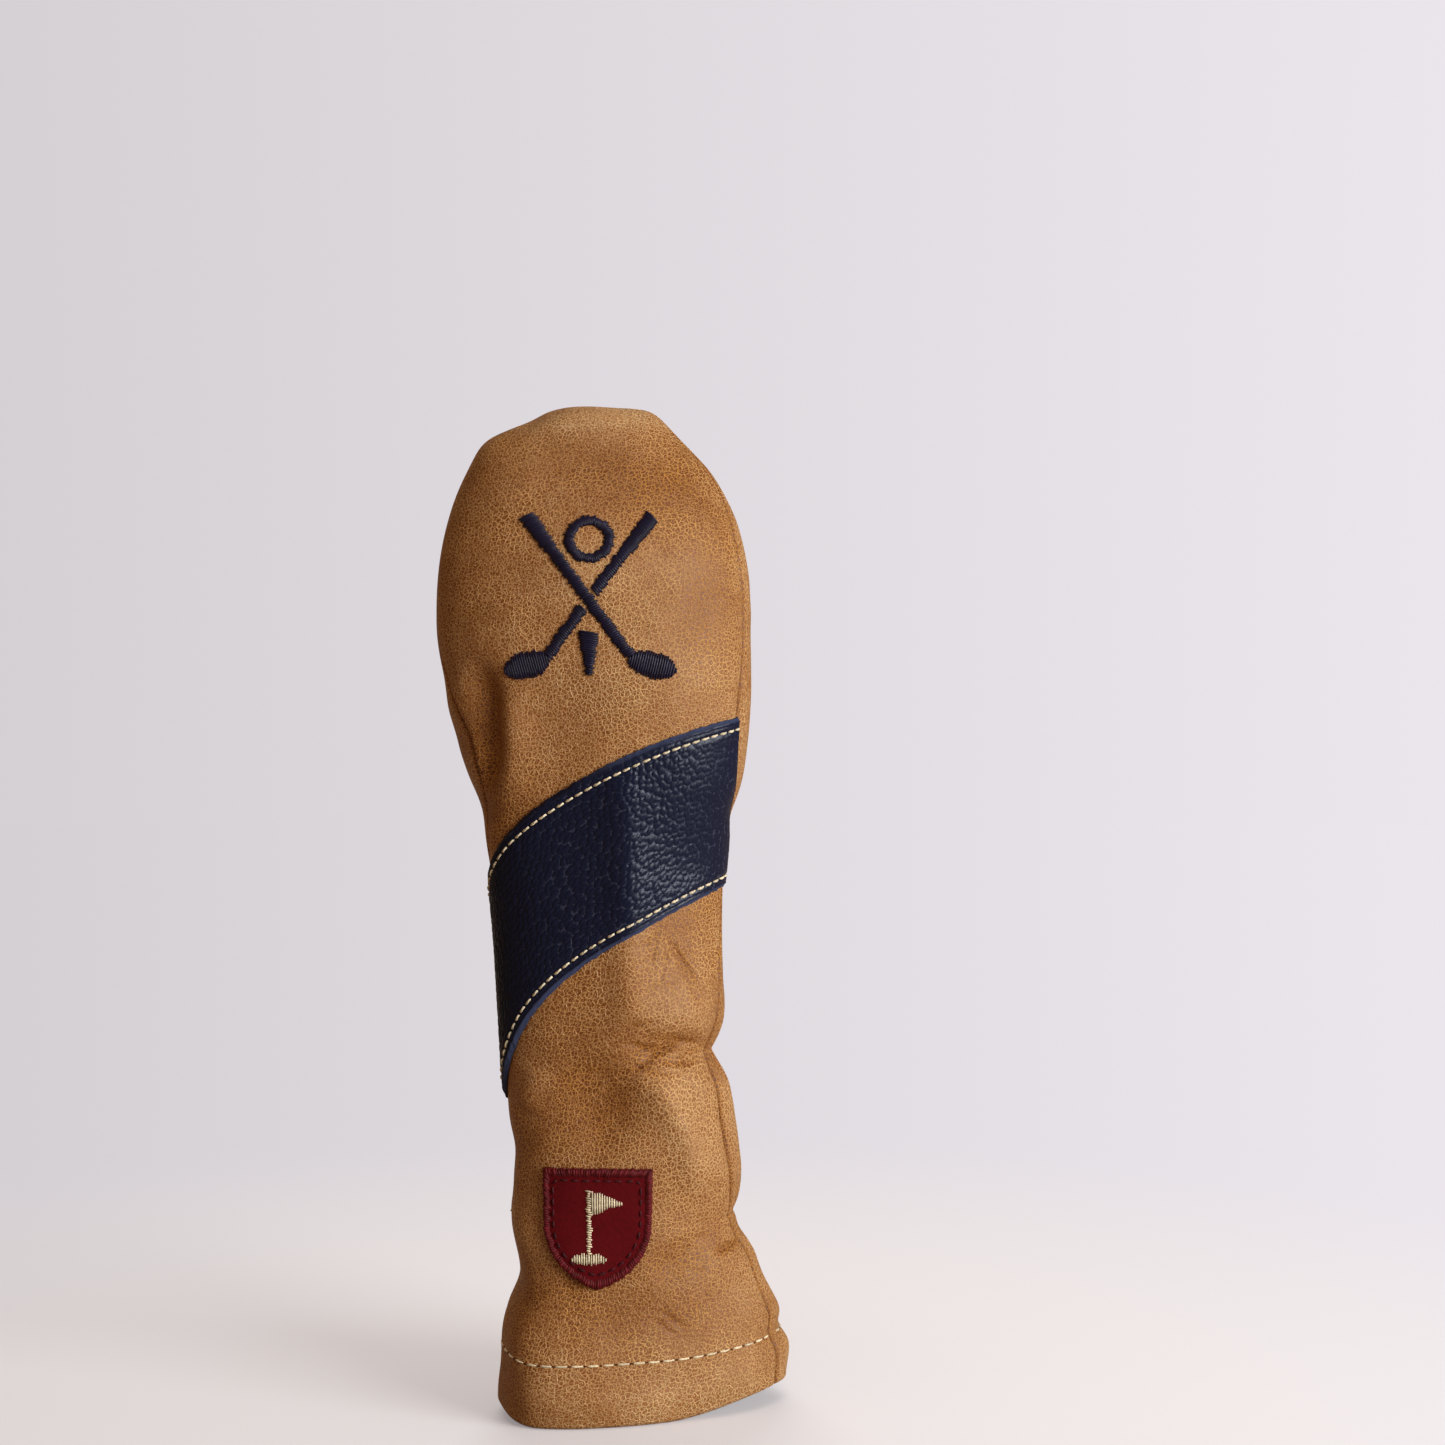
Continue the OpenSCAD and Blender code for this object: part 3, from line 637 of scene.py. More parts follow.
class Bench:
    """Ways to make and finish meshes that the pieces share."""

    @staticmethod
    def piece(name: str, points: Array, faces: list, smooth: float = 40) -> Piece:
        """Makes a piece from points in millimetres.

        Args:
            name: Name of the piece.
            points: Places of its corners.
            faces: Corners of each face, counter-clockwise from outside.
            smooth: Angle, in degrees, over which an edge stays sharp.

        Returns:
            The piece, at the origin.
        """
        mesh = bpy.data.meshes.new(name)
        mesh.from_pydata((np.reshape(points, (-1, 3)) * MM).tolist(), [], faces)
        mesh.shade_smooth()
        mesh.set_sharp_from_angle(angle=math.radians(smooth))
        piece = bpy.data.objects.new(name, mesh)
        bpy.context.scene.collection.objects.link(piece)
        return piece

    @staticmethod
    def grid_faces(rows: int, columns: int, start: int = 0, flip: bool = False) -> Array:
        """Lists the faces of a grid of points.

        Args:
            rows: How many rows it has.
            columns: How many points a row has.
            start: Number of its first point.
            flip: Whether the faces point the other way.

        Returns:
            The four corners of each face.
        """
        i, j = np.meshgrid(np.arange(rows - 1), np.arange(columns - 1), indexing="ij")
        a = start + i * columns + j
        quads = np.stack([a, a + 1, a + columns + 1, a + columns], axis=-1).reshape(-1, 4)
        return quads[:, ::-1] if flip else quads

    @staticmethod
    def rim(rows: int, columns: int, start: int = 0) -> Array:
        """Returns the points round the edge of a grid, in turn."""
        at = np.arange(rows * columns).reshape(rows, columns) + start
        return np.concatenate([at[0, :-1], at[:-1, -1], at[-1, :0:-1], at[:0:-1, 0]])

    @classmethod
    def shell(cls, name: str, outer: Array, inner: Array, coarse: int, flip: bool = False) -> Piece:
        """Makes a closed sheet between two grids, the inner one with a coarse share of the rows and columns.

        Args:
            name: Name of the piece.
            outer: Points of the face that shows.
            inner: Points of the face behind it, every coarse-th row and column of the outer one.
            coarse: How many outer steps there are to an inner one.
            flip: Whether the grid runs the other way round as seen from outside.

        Returns:
            The piece.
        """
        (r, c), (m, n) = outer.shape[:2], inner.shape[:2]
        faces = cls.grid_faces(r, c, 0, flip).tolist()
        faces += cls.grid_faces(m, n, r * c, not flip).tolist()
        edge, back = cls.rim(r, c).tolist(), cls.rim(m, n, r * c).tolist()
        edge.append(edge[0])
        back.append(back[0])
        for k in range(len(back) - 1):
            wall = edge[k * coarse : (k + 1) * coarse + 1][::-1] + [back[k], back[k + 1]]
            faces.append(wall[::-1] if flip else wall)
        return cls.piece(name, np.concatenate([outer.reshape(-1, 3), inner.reshape(-1, 3)]), faces)

    @staticmethod
    def paint(piece: Piece, name: str, values: Array) -> None:
        """Gives each corner of a piece a value that its finish reads.

        Args:
            piece: The piece.
            name: Name that the finish reads.
            values: Values of its first corners; the rest get 0.
        """
        full = np.zeros(len(piece.data.vertices), np.float32)
        full[: values.size] = values.ravel()
        piece.data.attributes.new(name, "FLOAT", "POINT").data.foreach_set("value", full)

    @staticmethod
    def uv(piece: Piece, places: Array) -> None:
        """Gives each corner of a piece a place on its own flat pattern.

        Args:
            piece: The piece.
            places: Place of each corner.
        """
        loops = np.zeros(len(piece.data.loops), np.int32)
        piece.data.loops.foreach_get("vertex_index", loops)
        flat = np.asarray(places, np.float32).reshape(-1, 2)[loops]
        piece.data.uv_layers.new(name="Pattern").data.foreach_set("uv", flat.ravel())


@dataclass
class Strand:
    """A short length of thread, modelled once along +X from 0 to 1 and copied along lines and shapes."""

    sides: int = 8
    rings: int = 7
    oval: float = 0.72
    twist: float = 42
    end: float = 0.55
    offset: float = 0.37
    smooth: float = 80

    def __post_init__(self) -> None:
        """Models the strand and keeps its corners and faces."""
        bpy.ops.object.select_all(action="DESELECT")
        bpy.ops.mesh.primitive_circle_add(
            vertices=self.sides, radius=0.5, fill_type="NGON", rotation=(0, math.pi / 2, 0))
        bpy.ops.object.transform_apply(location=False, rotation=True, scale=False)
        bpy.ops.object.mode_set(mode="EDIT")
        bpy.ops.mesh.select_all(action="SELECT")
        bpy.ops.transform.resize(value=(1, self.end, self.end * self.oval))
        step = 1 / (self.rings - 1)
        for k in range(1, self.rings):
            bpy.ops.mesh.extrude_region_move(TRANSFORM_OT_translate={"value": (step, 0, 0)})
            size, here = self.girth(k * step) / self.girth((k - 1) * step), (k * step, 0, 0)
            bpy.ops.transform.resize(value=(1, size, size), center_override=here)
            bpy.ops.transform.rotate(value=math.radians(self.twist), orient_axis="X", center_override=here)
        bpy.ops.mesh.select_all(action="SELECT")
        bpy.ops.mesh.normals_make_consistent(inside=False)
        bpy.ops.object.mode_set(mode="OBJECT")
        made = bpy.context.active_object
        self.corners = np.array([v.co for v in made.data.vertices], float)
        self.faces = [list(p.vertices) for p in made.data.polygons]
        mesh = made.data
        bpy.data.objects.remove(made)
        bpy.data.meshes.remove(mesh)

    def girth(self, s: float) -> float:
        """Returns the thickness at a share of the length, thinner at the ends."""
        return mix(self.end, 1, min(1, 5 * min(s, 1 - s)))

    def laid(
        self, name: str, starts: Array, ends: Array, ups: Array, thick: Array | float, arch: Array | float
    ) -> Piece:
        """Copies the strand between pairs of points.

        Args:
            name: Name of the piece that the copies make.
            starts: Where each copy starts, in millimetres.
            ends: Where it ends.
            ups: Outward direction at each copy.
            thick: Thickness of each copy.
            arch: How far the middle of each copy stands above its ends.

        Returns:
            The piece.
        """
        starts, ends = np.asarray(starts, float), np.asarray(ends, float)
        n = len(starts)
        thick, arch = np.broadcast_to(thick, n), np.broadcast_to(arch, n)
        run = ends - starts
        side = unit(np.cross(ups, run))
        up = unit(np.cross(run, side))
        x, y, z = self.corners.T
        bow = 4 * x * (1 - x)
        points = (
            starts[:, None] + run[:, None] * x[None, :, None]
            + side[:, None] * (thick[:, None] * y)[..., None]
            + up[:, None] * (thick[:, None] * z + arch[:, None] * bow)[..., None]
        )
        step = len(self.corners)
        faces = [[v + k * step for v in f] for k in range(n) for f in self.faces]
        piece = Bench.piece(name, points, faces, self.smooth)
        Bench.uv(piece, np.stack([np.tile(x, n), np.repeat(np.arange(n), step) * self.offset], axis=-1))
        return piece


class Tree:
    """A tree of nodes, with short ways to add and join them."""

    def __init__(self, tree: bpy.types.NodeTree) -> None:
        """Takes a tree that its owner has made."""
        self.tree = tree

    def add(self, kind: str, inputs: dict | None = None, **settings: object) -> bpy.types.Node:
        """Adds a node.

        Args:
            kind: Its type.
            inputs: Values or sockets for its inputs, by name or number.
            settings: Values for its own settings.

        Returns:
            The node.
        """
        node = self.tree.nodes.new(kind)
        for key, value in settings.items():
            setattr(node, key, value)
        for key, value in (inputs or {}).items():
            self.set(node.inputs[key], value)
        return node

    def set(self, socket: Socket, value: object) -> None:
        """Joins a socket to another, or gives it a value.

        Args:
            socket: Socket to set.
            value: Another socket, or a plain value.
        """
        if isinstance(value, Socket):
            self.tree.links.new(value, socket)
        else:
            socket.default_value = value

    def sum(self, kind: str, a: object, b: object = 0.5, c: object = 0.0) -> Socket:
        """Returns the result of a sum on numbers."""
        return self.add("ShaderNodeMath", {0: a, 1: b, 2: c}, operation=kind).outputs[0]

    def between(
        self, value: object, low: float, high: float, to_low: float = 0, to_high: float = 1
    ) -> Socket:
        """Returns a value taken from one range to another."""
        return self.add("ShaderNodeMapRange", {0: value, 1: low, 2: high, 3: to_low, 4: to_high}).outputs[0]

    def vector(self, kind: str, inputs: dict, out: int = 0) -> Socket:
        """Returns the result of a sum on vectors, a vector at its output 0 or a number at its output 1."""
        return self.add("ShaderNodeVectorMath", inputs, operation=kind).outputs[out]

    def split(self, place: Socket) -> list[Socket]:
        """Returns the three numbers of a place."""
        return list(self.add("ShaderNodeSeparateXYZ", {0: place}).outputs)

    def blend(self, share: object, a: object, b: object) -> Socket:
        """Returns a colour a share of the way from a to b."""
        a, b = (c if isinstance(c, Socket) else (*c, 1) for c in (a, b))
        return self.add("ShaderNodeMix", {0: share, 6: a, 7: b}, data_type="RGBA").outputs[2]


class Nodes(Tree):
    """The node tree of one finish."""

    def __init__(self, name: str) -> None:
        """Starts a finish with a shader and an output.

        Args:
            name: Name of the finish.
        """
        self.material = bpy.data.materials.new(name)
        self.material.use_nodes = True
        super().__init__(self.material.node_tree)
        self.shader = self.tree.nodes["Principled BSDF"]
        self.object = self.add("ShaderNodeTexCoord").outputs["Object"]

    def shade(self, **inputs: object) -> None:
        """Sets the shader's inputs, with _ for a blank in their names."""
        for key, value in inputs.items():
            self.set(self.shader.inputs[key.replace("_", " ")], value)

    def noise(self, size: float, detail: float, rough: float) -> Socket:
        """Returns noise from 0 to 1 whose spots are about size millimetres."""
        wanted = {"Vector": self.object, "Scale": 1 / (size * MM), "Detail": detail, "Roughness": rough}
        return self.add("ShaderNodeTexNoise", wanted).outputs["Fac"]

    def pattern(self) -> Socket:
        """Returns the places on the piece's flat pattern."""
        return self.add("ShaderNodeUVMap", uv_map="Pattern").outputs[0]

    def value(self, name: str) -> Socket:
        """Returns the values painted on the piece under a name."""
        return self.add("ShaderNodeAttribute", attribute_name=name).outputs["Fac"]

    def bump(self, height: object, depth: float, strength: float = 1) -> None:
        """Raises the surface by a height from 0 to 1, as deep as depth millimetres."""
        node = self.add("ShaderNodeBump", {"Height": height, "Strength": strength, "Distance": depth * MM})
        self.set(self.shader.inputs["Normal"], node.outputs[0])


@dataclass(frozen=True)
class TanLeather:
    """Waxed pull-up leather: a net of fine pale cracks on mottled tan."""

    dark: Colour = (0.105, 0.0245, 0.003)
    plain: Colour = (0.222, 0.068, 0.0092)
    pale: Colour = (0.395, 0.165, 0.044)
    vein: Colour = (0.99, 0.68, 0.33)
    dim_vein: Colour = (0.89, 0.41, 0.078)
    crackle: float = 1.75
    crackle_w: float = 0.125
    fine_crackle: float = 1.0
    fine_w: float = 0.158
    slant: tuple[float, float, float] = (0.7, 0.71, 0)
    drawn: float = 0.5
    mottle: float = 9
    cloud: float = 34
    warp: float = 1.4
    warp_d: float = 0.9
    patches: float = 13
    gaps: float = 0.8
    grain: float = 0.4
    relief: float = 0.16

    def place(self, n: Nodes) -> Socket:
        """Makes the flat pattern uneven and squeezes it along one slanting direction.

        Args:
            n: Nodes of the finish.

        Returns:
            Places on the pattern.
        """
        warp = n.add("ShaderNodeTexNoise", {"Vector": n.object, "Scale": 1 / (self.warp * MM), "Detail": 2})
        shift = n.vector("SCALE", {0: warp.outputs["Color"], "Scale": self.warp_d * MM})
        flat = n.vector("ADD", {0: n.pattern(), 1: shift})
        along = n.vector("DOT_PRODUCT", {0: flat, 1: self.slant}, 1)
        along = n.vector("SCALE", {0: self.slant, "Scale": along})
        return n.vector("MULTIPLY_ADD", {0: along, 1: (self.drawn,) * 3, 2: flat})

    def cracks(self, n: Nodes, place: Socket, size: float, width: float) -> Socket:
        """Draws a net of cracks.

        Args:
            n: Nodes of the finish.
            place: Places on the pattern.
            size: Size of a cell, in millimetres.
            width: Width of a crack, as a share of a cell.

        Returns:
            Values from 0 to 1 on the cracks.
        """
        wanted = {"Vector": place, "Scale": 1 / (size * MM)}
        cells = n.add("ShaderNodeTexVoronoi", wanted, feature="DISTANCE_TO_EDGE", voronoi_dimensions="2D")
        return n.between(cells.outputs["Distance"], 0.0, width, 1, 0)

    def material(self) -> bpy.types.Material:
        """Builds the nodes of the finish.

        Returns:
            The finish.
        """
        n = Nodes("tan_leather")
        place = self.place(n)
        broad = self.cracks(n, place, self.crackle, self.crackle_w)
        fine = self.cracks(n, place, self.fine_crackle, self.fine_w)
        kept = n.between(n.noise(self.patches, 3, 0.6), 0.4, 0.6, 0.4, 1)
        broken = n.between(n.noise(self.gaps, 2, 0.5), 0.36, 0.54, 0.15, 1)
        grain, mottle = n.noise(self.grain, 3, 0.65), n.noise(self.mottle, 4, 0.6)
        cloud = n.noise(self.cloud, 3, 0.55)
        # Values painted on the panels, mostly painted light and shade: they darken or pale the leather, and
        # the pale cracks grow fewer and dimmer where it is darker.
        tone_and_shade = n.value("tone_and_shade")
        shade = n.sum("MULTIPLY_ADD", cloud, 0.5, n.sum("MULTIPLY_ADD", mottle, 0.35, -0.025))
        shade = n.sum("ADD", n.sum("MULTIPLY_ADD", grain, 0.2, shade), tone_and_shade)
        lower, upper = n.between(shade, 0.1, 0.5), n.between(shade, 0.5, 0.95)
        colour = n.blend(upper, n.blend(lower, self.dark, self.plain), self.pale)
        vein = n.sum("MAXIMUM", n.sum("MULTIPLY", broad, kept), n.sum("MULTIPLY", fine, broken))
        share = n.sum("MULTIPLY", vein, n.between(tone_and_shade, -0.25, 0.12, 0.78, 1))
        lines = n.blend(n.between(shade, 0.2, 0.7), self.dim_vein, self.vein)
        n.shade(Base_Color=n.blend(share, colour, lines))
        n.shade(Roughness=n.between(mottle, 0.2, 0.8, 0.5, 0.4), Specular_IOR_Level=0.4)
        n.bump(n.sum("MULTIPLY_ADD", vein, -1, n.sum("MULTIPLY", grain, 0.5)), self.relief, 1)
        return n.material


@dataclass(frozen=True)
class NavyLeather:
    """Pebbled leather with a soft gloss, and pale suede where it is cut."""

    face: Colour = (0.0028, 0.0042, 0.0155)
    wear_and_glint: Colour = (0.013, 0.017, 0.045)
    gap_glint: Colour = (0.034, 0.04, 0.072)
    sheen: Colour = (0.84, 0.91, 1)
    cut: Colour = (0.04, 0.053, 0.115)
    grain: float = 0.3
    fuzz: float = 0.5

    def material(self) -> bpy.types.Material:
        """Builds the nodes of the finish.

        Returns:
            The finish.
        """
        n = Nodes("navy_leather")
        edge = n.value("cut_edge")
        high = n.value("pebble")
        grain = n.noise(self.grain, 3, 0.6)
        fuzz = n.noise(self.fuzz, 4, 0.7)
        # Pebble tops painted paler: partly wear, partly painted glint.
        face = n.blend(n.sum("MULTIPLY", high, grain), self.face, self.wear_and_glint)
        # The gaps between pebbles are painted paler: painted glint on the flanks that catch the light.
        face = n.blend(n.between(high, 0.15, 0.48, 1, 0), face, self.gap_glint)
        cut = n.blend(fuzz, tinted(self.cut, 0.6), tinted(self.cut, 1.35))
        n.shade(Base_Color=n.blend(edge, face, cut))
        gloss = n.between(grain, 0.3, 0.7, 0.17, 0.26)
        n.shade(Roughness=n.sum("MAXIMUM", gloss, n.sum("MULTIPLY", edge, 0.95)))
        n.shade(Specular_IOR_Level=0.2, Specular_Tint=(*self.sheen, 1))
        n.bump(n.sum("MULTIPLY_ADD", edge, fuzz, grain), 0.1, 0.6)
        return n.material


@dataclass(frozen=True)
class Thread:
    """Twisted or satin thread, with its plies as fine bands along it."""

    name: str
    colour: Colour
    plies: float = 3.5
    rough: float = 0.6
    gloss: float = 0.25
    fibre: float = 0.22

    def material(self) -> bpy.types.Material:
        """Builds the nodes of the finish.

        Returns:
            The finish.
        """
        n = Nodes(self.name)
        along, copy, _ = n.split(n.pattern())
        wave = n.sum("SINE", n.sum("MULTIPLY", along, self.plies * 2 * math.pi))
        fibre = n.noise(self.fibre, 2, 0.6)
        each = n.add("ShaderNodeTexWhiteNoise", {"W": copy}, noise_dimensions="1D").outputs["Value"]
        share = n.sum("MULTIPLY_ADD", wave, 0.1, n.sum("MULTIPLY", each, 0.6))
        share = n.sum("MULTIPLY_ADD", fibre, 0.4, share)
        n.shade(Base_Color=n.blend(share, tinted(self.colour, 0.5), tinted(self.colour, 1.4)))
        n.shade(Roughness=self.rough, Specular_IOR_Level=self.gloss)
        n.bump(n.sum("MULTIPLY_ADD", wave, 0.25, fibre), 0.08, 0.6)
        return n.material


@dataclass(frozen=True)
class Twill:
    """Twill weave with its diagonal ribs."""

    colour: Colour = (0.11, 0.003, 0.0055)
    rib: float = 0.62
    lint: float = 0.8

    def material(self) -> bpy.types.Material:
        """Builds the nodes of the finish.

        Returns:
            The finish.
        """
        n = Nodes("red_twill")
        x, z, _ = n.split(n.pattern())
        rib = n.sum("SINE", n.sum("MULTIPLY", n.sum("ADD", x, z), 2 * math.pi / self.rib))
        yarn = n.sum("SINE", n.sum("MULTIPLY", z, 2 * math.pi / (0.6 * self.rib)))
        weave = n.sum("MULTIPLY_ADD", yarn, 0.35, rib)
        lint = n.noise(self.lint, 3, 0.6)
        share = n.sum("MULTIPLY_ADD", weave, 0.16, n.sum("MULTIPLY", lint, 0.9))
        n.shade(Base_Color=n.blend(share, tinted(self.colour, 0.6), tinted(self.colour, 1.5)))
        n.shade(Roughness=0.85, Specular_IOR_Level=0.1)
        n.bump(weave, 0.07, 0.7)
        return n.material


@dataclass(frozen=True)
class Fleece:
    """Short curled pile."""

    name: str
    colour: Colour
    curl: float = 1.6
    deep: float = 0.8
    pile: float = 0.4

    def material(self) -> bpy.types.Material:
        """Builds the nodes of the finish.

        Returns:
            The finish.
        """
        n = Nodes(self.name)
        curl = n.noise(self.curl, 4, 0.65)
        pile = n.noise(self.pile, 3, 0.7)
        height = n.sum("MULTIPLY_ADD", pile, 0.4, curl)
        n.shade(Base_Color=n.blend(n.between(height, 0.4, 1.0), tinted(self.colour, 0.55), self.colour))
        n.shade(Roughness=0.95, Sheen_Weight=0.4, Sheen_Roughness=0.6)
        n.bump(height, self.deep, 0.9)
        return n.material


@dataclass(frozen=True)
class WovenElastic:
    """Woven elastic with cords along it."""

    colour: Colour = (0.72, 0.7, 0.64)
    cord: float = 1.1
    yarn: float = 0.5

    def material(self) -> bpy.types.Material:
        """Builds the nodes of the finish.

        Returns:
            The finish.
        """
        n = Nodes("woven_elastic")
        cords = n.sum("SINE", n.sum("MULTIPLY", n.split(n.object)[2], 2 * math.pi / (self.cord * MM)))
        weave = n.sum("MULTIPLY_ADD", cords, 0.3, n.noise(self.yarn, 2, 0.6))
        n.shade(Base_Color=n.blend(weave, tinted(self.colour, 0.6), self.colour), Roughness=0.85)
        n.bump(weave, 0.2, 0.8)
        return n.material


@dataclass
class Finishes:
    """Every finish of the cover, made once."""

    def __post_init__(self) -> None:
        """Makes the materials."""
        self.tan = TanLeather().material()
        self.navy = NavyLeather().material()
        self.fleece = Fleece("fleece", (0.55, 0.43, 0.29)).material()
        self.stabiliser = Fleece("stabiliser", (0.8, 0.79, 0.76), 0.7, 0.1).material()
        self.elastic = WovenElastic().material()
        self.cream = Thread("cream_thread", (0.76, 0.67, 0.47)).material()
        # Dark thread finish for the needle holes: painted shade in the holes.
        self.hole_shade = Thread("needle_hole_shade", (0.075, 0.025, 0.008), 2, 0.8, 0.1).material()
        self.tan_thread = Thread("tan_thread", (0.32, 0.16, 0.07)).material()
        self.navy_thread = Thread("navy_thread", (0.008, 0.0065, 0.026), 2, 0.42, 0.32).material()
        self.red_thread = Thread("red_thread", (0.12, 0.0055, 0.0095), 2).material()
        self.dark_red = Thread("dark_red_thread", (0.05, 0.004, 0.008)).material()
        self.red = Twill().material()


def dress(piece: Piece, material: bpy.types.Material, slot: str, *nodes: str) -> Piece:
    """Gives a piece its finish and hides the solids that it stands for.

    Args:
        piece: The piece.
        material: Its finish.
        slot: Not used.
        nodes: Solids that it replaces.

    Returns:
        The piece.
    """
    piece.data.materials.append(material)
    if nodes:
        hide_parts(*nodes)
    LOG.info("%s: %d faces", piece.name, len(piece.data.polygons))
    return piece


def ride_neck(piece: Piece) -> None:
    """Bakes a piece of the rear into place, its transform applied to its mesh.

    Args:
        piece: The piece.
    """
    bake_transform(piece)


@dataclass(frozen=True)
class ToneAndShade:
    """A darker or paler patch painted on the leather, by place x, z and radii: mostly painted light and
    shade, partly the leather's own uneven colour.
    """

    middle: Place
    radii: Place
    strength: float

    def at(self, x: Array, z: Array) -> Array:
        """Returns how much the patch darkens or pales the leather at the places x, z."""
        return self.strength * oval(x, z, self.middle, self.radii)


# Front patches: painted light along the top of the crown, painted shade down the left side, in the left fold
# and in the neck, and partly the leather's own uneven colour.
FRONT_TONE_AND_SHADE = (
    ToneAndShade((-18, 264), (26, 9), -0.16),
    ToneAndShade((6, 259), (12, 8), -0.16),
    ToneAndShade((-14, 281), (24, 4), 0.3),
    ToneAndShade((20, 228), (8, 20), -0.1),
    ToneAndShade((-10, 236), (12, 7), 0.08),
    ToneAndShade((-12, 209), (22, 9), 0.1),
    ToneAndShade((-44, 190), (8, 22), -0.24),
    ToneAndShade((-26, 172), (20, 14), -0.12),
    ToneAndShade((-20, 118), (18, 12), -0.1),
    ToneAndShade((-14, 90), (20, 24), -0.13),
    ToneAndShade((-46, 236), (14, 40), -0.1),
    ToneAndShade((-36, 18), (14, 20), -0.08),
    ToneAndShade((-28, 76), (12, 20), -0.1),
    ToneAndShade((12, 92), (7, 18), 0.1),
    ToneAndShade((-24, 30), (14, 10), -0.12),
    ToneAndShade((8, 30), (16, 7), -0.12),
    ToneAndShade((2, 8), (30, 10), 0.06),
)
# Rear patches: painted shade along both elastics' gathers, a darker band high on the crown and a paler
# middle.
REAR_TONE_AND_SHADE = (
    ToneAndShade((-16, 250), (26, 16), -0.15),
    ToneAndShade((-10, 150), (20, 30), 0.08),
    ToneAndShade((-6, 100), (26, 8), -0.25),
    ToneAndShade((-2, 54), (26, 8), -0.25),
)


@dataclass
class LeatherPanel:
    """One leather panel of the sleeve, its hem folded up inside."""

    panel: Panel
    tone_shade_patches: tuple[ToneAndShade, ...]
    thickness: float = 1.4
    hem_fold_h: float = 24
    skive: float = 0.4
    step: float = 0.64
    coarse: int = 3
    columns: int = 150
    rolled_w: float = 0.025
    fold_shade: float = 0.05
    wrinkle_shade: float = 0.3
    seam_shade: float = 0.5
    seam_w: float = 0.9
    hem_tone: float = 0.1
    hem_w: float = 2.2

    def heights(self) -> Array:
        """Spreads the rows.

        Returns:
            Heights, closer together round the hem's edge and over the crown.
        """
        t = self.thickness
        hem = t * (1 - np.cos(np.linspace(0, np.pi / 2, 10)))
        n = 3 * round((FORM.crown_z - self.hem_fold_h - self.skive) / self.step / 3)
        fold = np.linspace(t, self.hem_fold_h, 3 * round((self.hem_fold_h - t) / self.step / 3) + 1)
        step = np.linspace(self.hem_fold_h, self.hem_fold_h + self.skive, 4)
        sleeve = np.linspace(self.hem_fold_h + self.skive, FORM.crown_z, n + 1)
        dome = FORM.crown_z + (FORM.total_h - FORM.crown_z) * np.sin(np.linspace(0, np.pi / 2, 121))
        return np.concatenate([hem, fold[1:], step[1:], sleeve[1:], dome[1:]])

    def shares(self) -> Array:
        """Spreads the columns.

        Returns:
            Shares across, closer together in the rolled edges.
        """
        edge = self.rolled_w * np.linspace(0, 1, 10) ** 1.6
        flat = np.linspace(self.rolled_w, 1 - self.rolled_w, self.columns + 1)
        return np.concatenate([edge[:-1], flat, 1 - edge[-2::-1]])

    @staticmethod
    def laid_flat(points: Array) -> Array:
        """Lays a panel flat.

        Args:
            points: Grid of its points, row by row.

        Returns:
            Each point's place: along its row from the middle, and up the middle.
        """
        middle = points.shape[1] // 2
        along = np.pad(np.cumsum(np.linalg.norm(np.diff(points, axis=1), axis=2), axis=1), ((0, 0), (1, 0)))
        up = run_along(points[:, middle])
        return np.stack(np.broadcast_arrays(along - along[:, middle, None], up[:, None]), axis=-1)

    def build(self, name: str) -> Piece:
        """Lofts the panel and paints the values that darken or pale its leather: patches of painted light
        and shade, painted shade in folds, wrinkles and seams, painted light on raised folds, and a paler hem
        edge.

        Args:
            name: Name of the piece.

        Returns:
            The piece.
        """
        z, t = self.heights(), self.shares()
        thick = self.thickness
        round_in = thick - np.sqrt(np.maximum(0, thick**2 - np.maximum(0, thick - z) ** 2))
        face = np.broadcast_to(round_in[:, None], (len(z), len(t)))
        back = np.where(z <= self.hem_fold_h + 1e-6, 2 * thick, thick)[:, None] - face
        rows, columns = np.meshgrid(z, t, indexing="ij")
        outer = FORM.point(rows, columns, face, self.panel)
        k = self.coarse
        inner = FORM.point(rows[::k, ::k], columns[::k, ::k], back[::k, ::k], self.panel)
        piece = Bench.shell(name, outer, inner, k)
        flat = self.laid_flat(outer) * MM
        Bench.uv(piece, np.concatenate([flat.reshape(-1, 2), flat[::k, ::k].reshape(-1, 2)]))
        x = outer[..., 0]
        # Painted shade where the folds press in and painted light where they rise.
        fold = FORM.folds(rows, columns, self.panel)
        tone_and_shade = sum(s.at(x, rows) for s in self.tone_shade_patches) - self.fold_shade * np.clip(fold, -2, 2)
        # Painted shade along the fine wrinkles.
        tone_and_shade = tone_and_shade - self.wrinkle_shade * sum(f.pressed(x, rows) for f in OWN_FOLDS[self.panel] if f.fine)
        # Painted shade along both seams.
        tone_and_shade = tone_and_shade - self.seam_shade * bell(FORM.seam_distance(rows, columns), self.seam_w)
        Bench.paint(piece, "tone_and_shade", tone_and_shade + self.hem_tone * bell(rows, self.hem_w))
        return piece


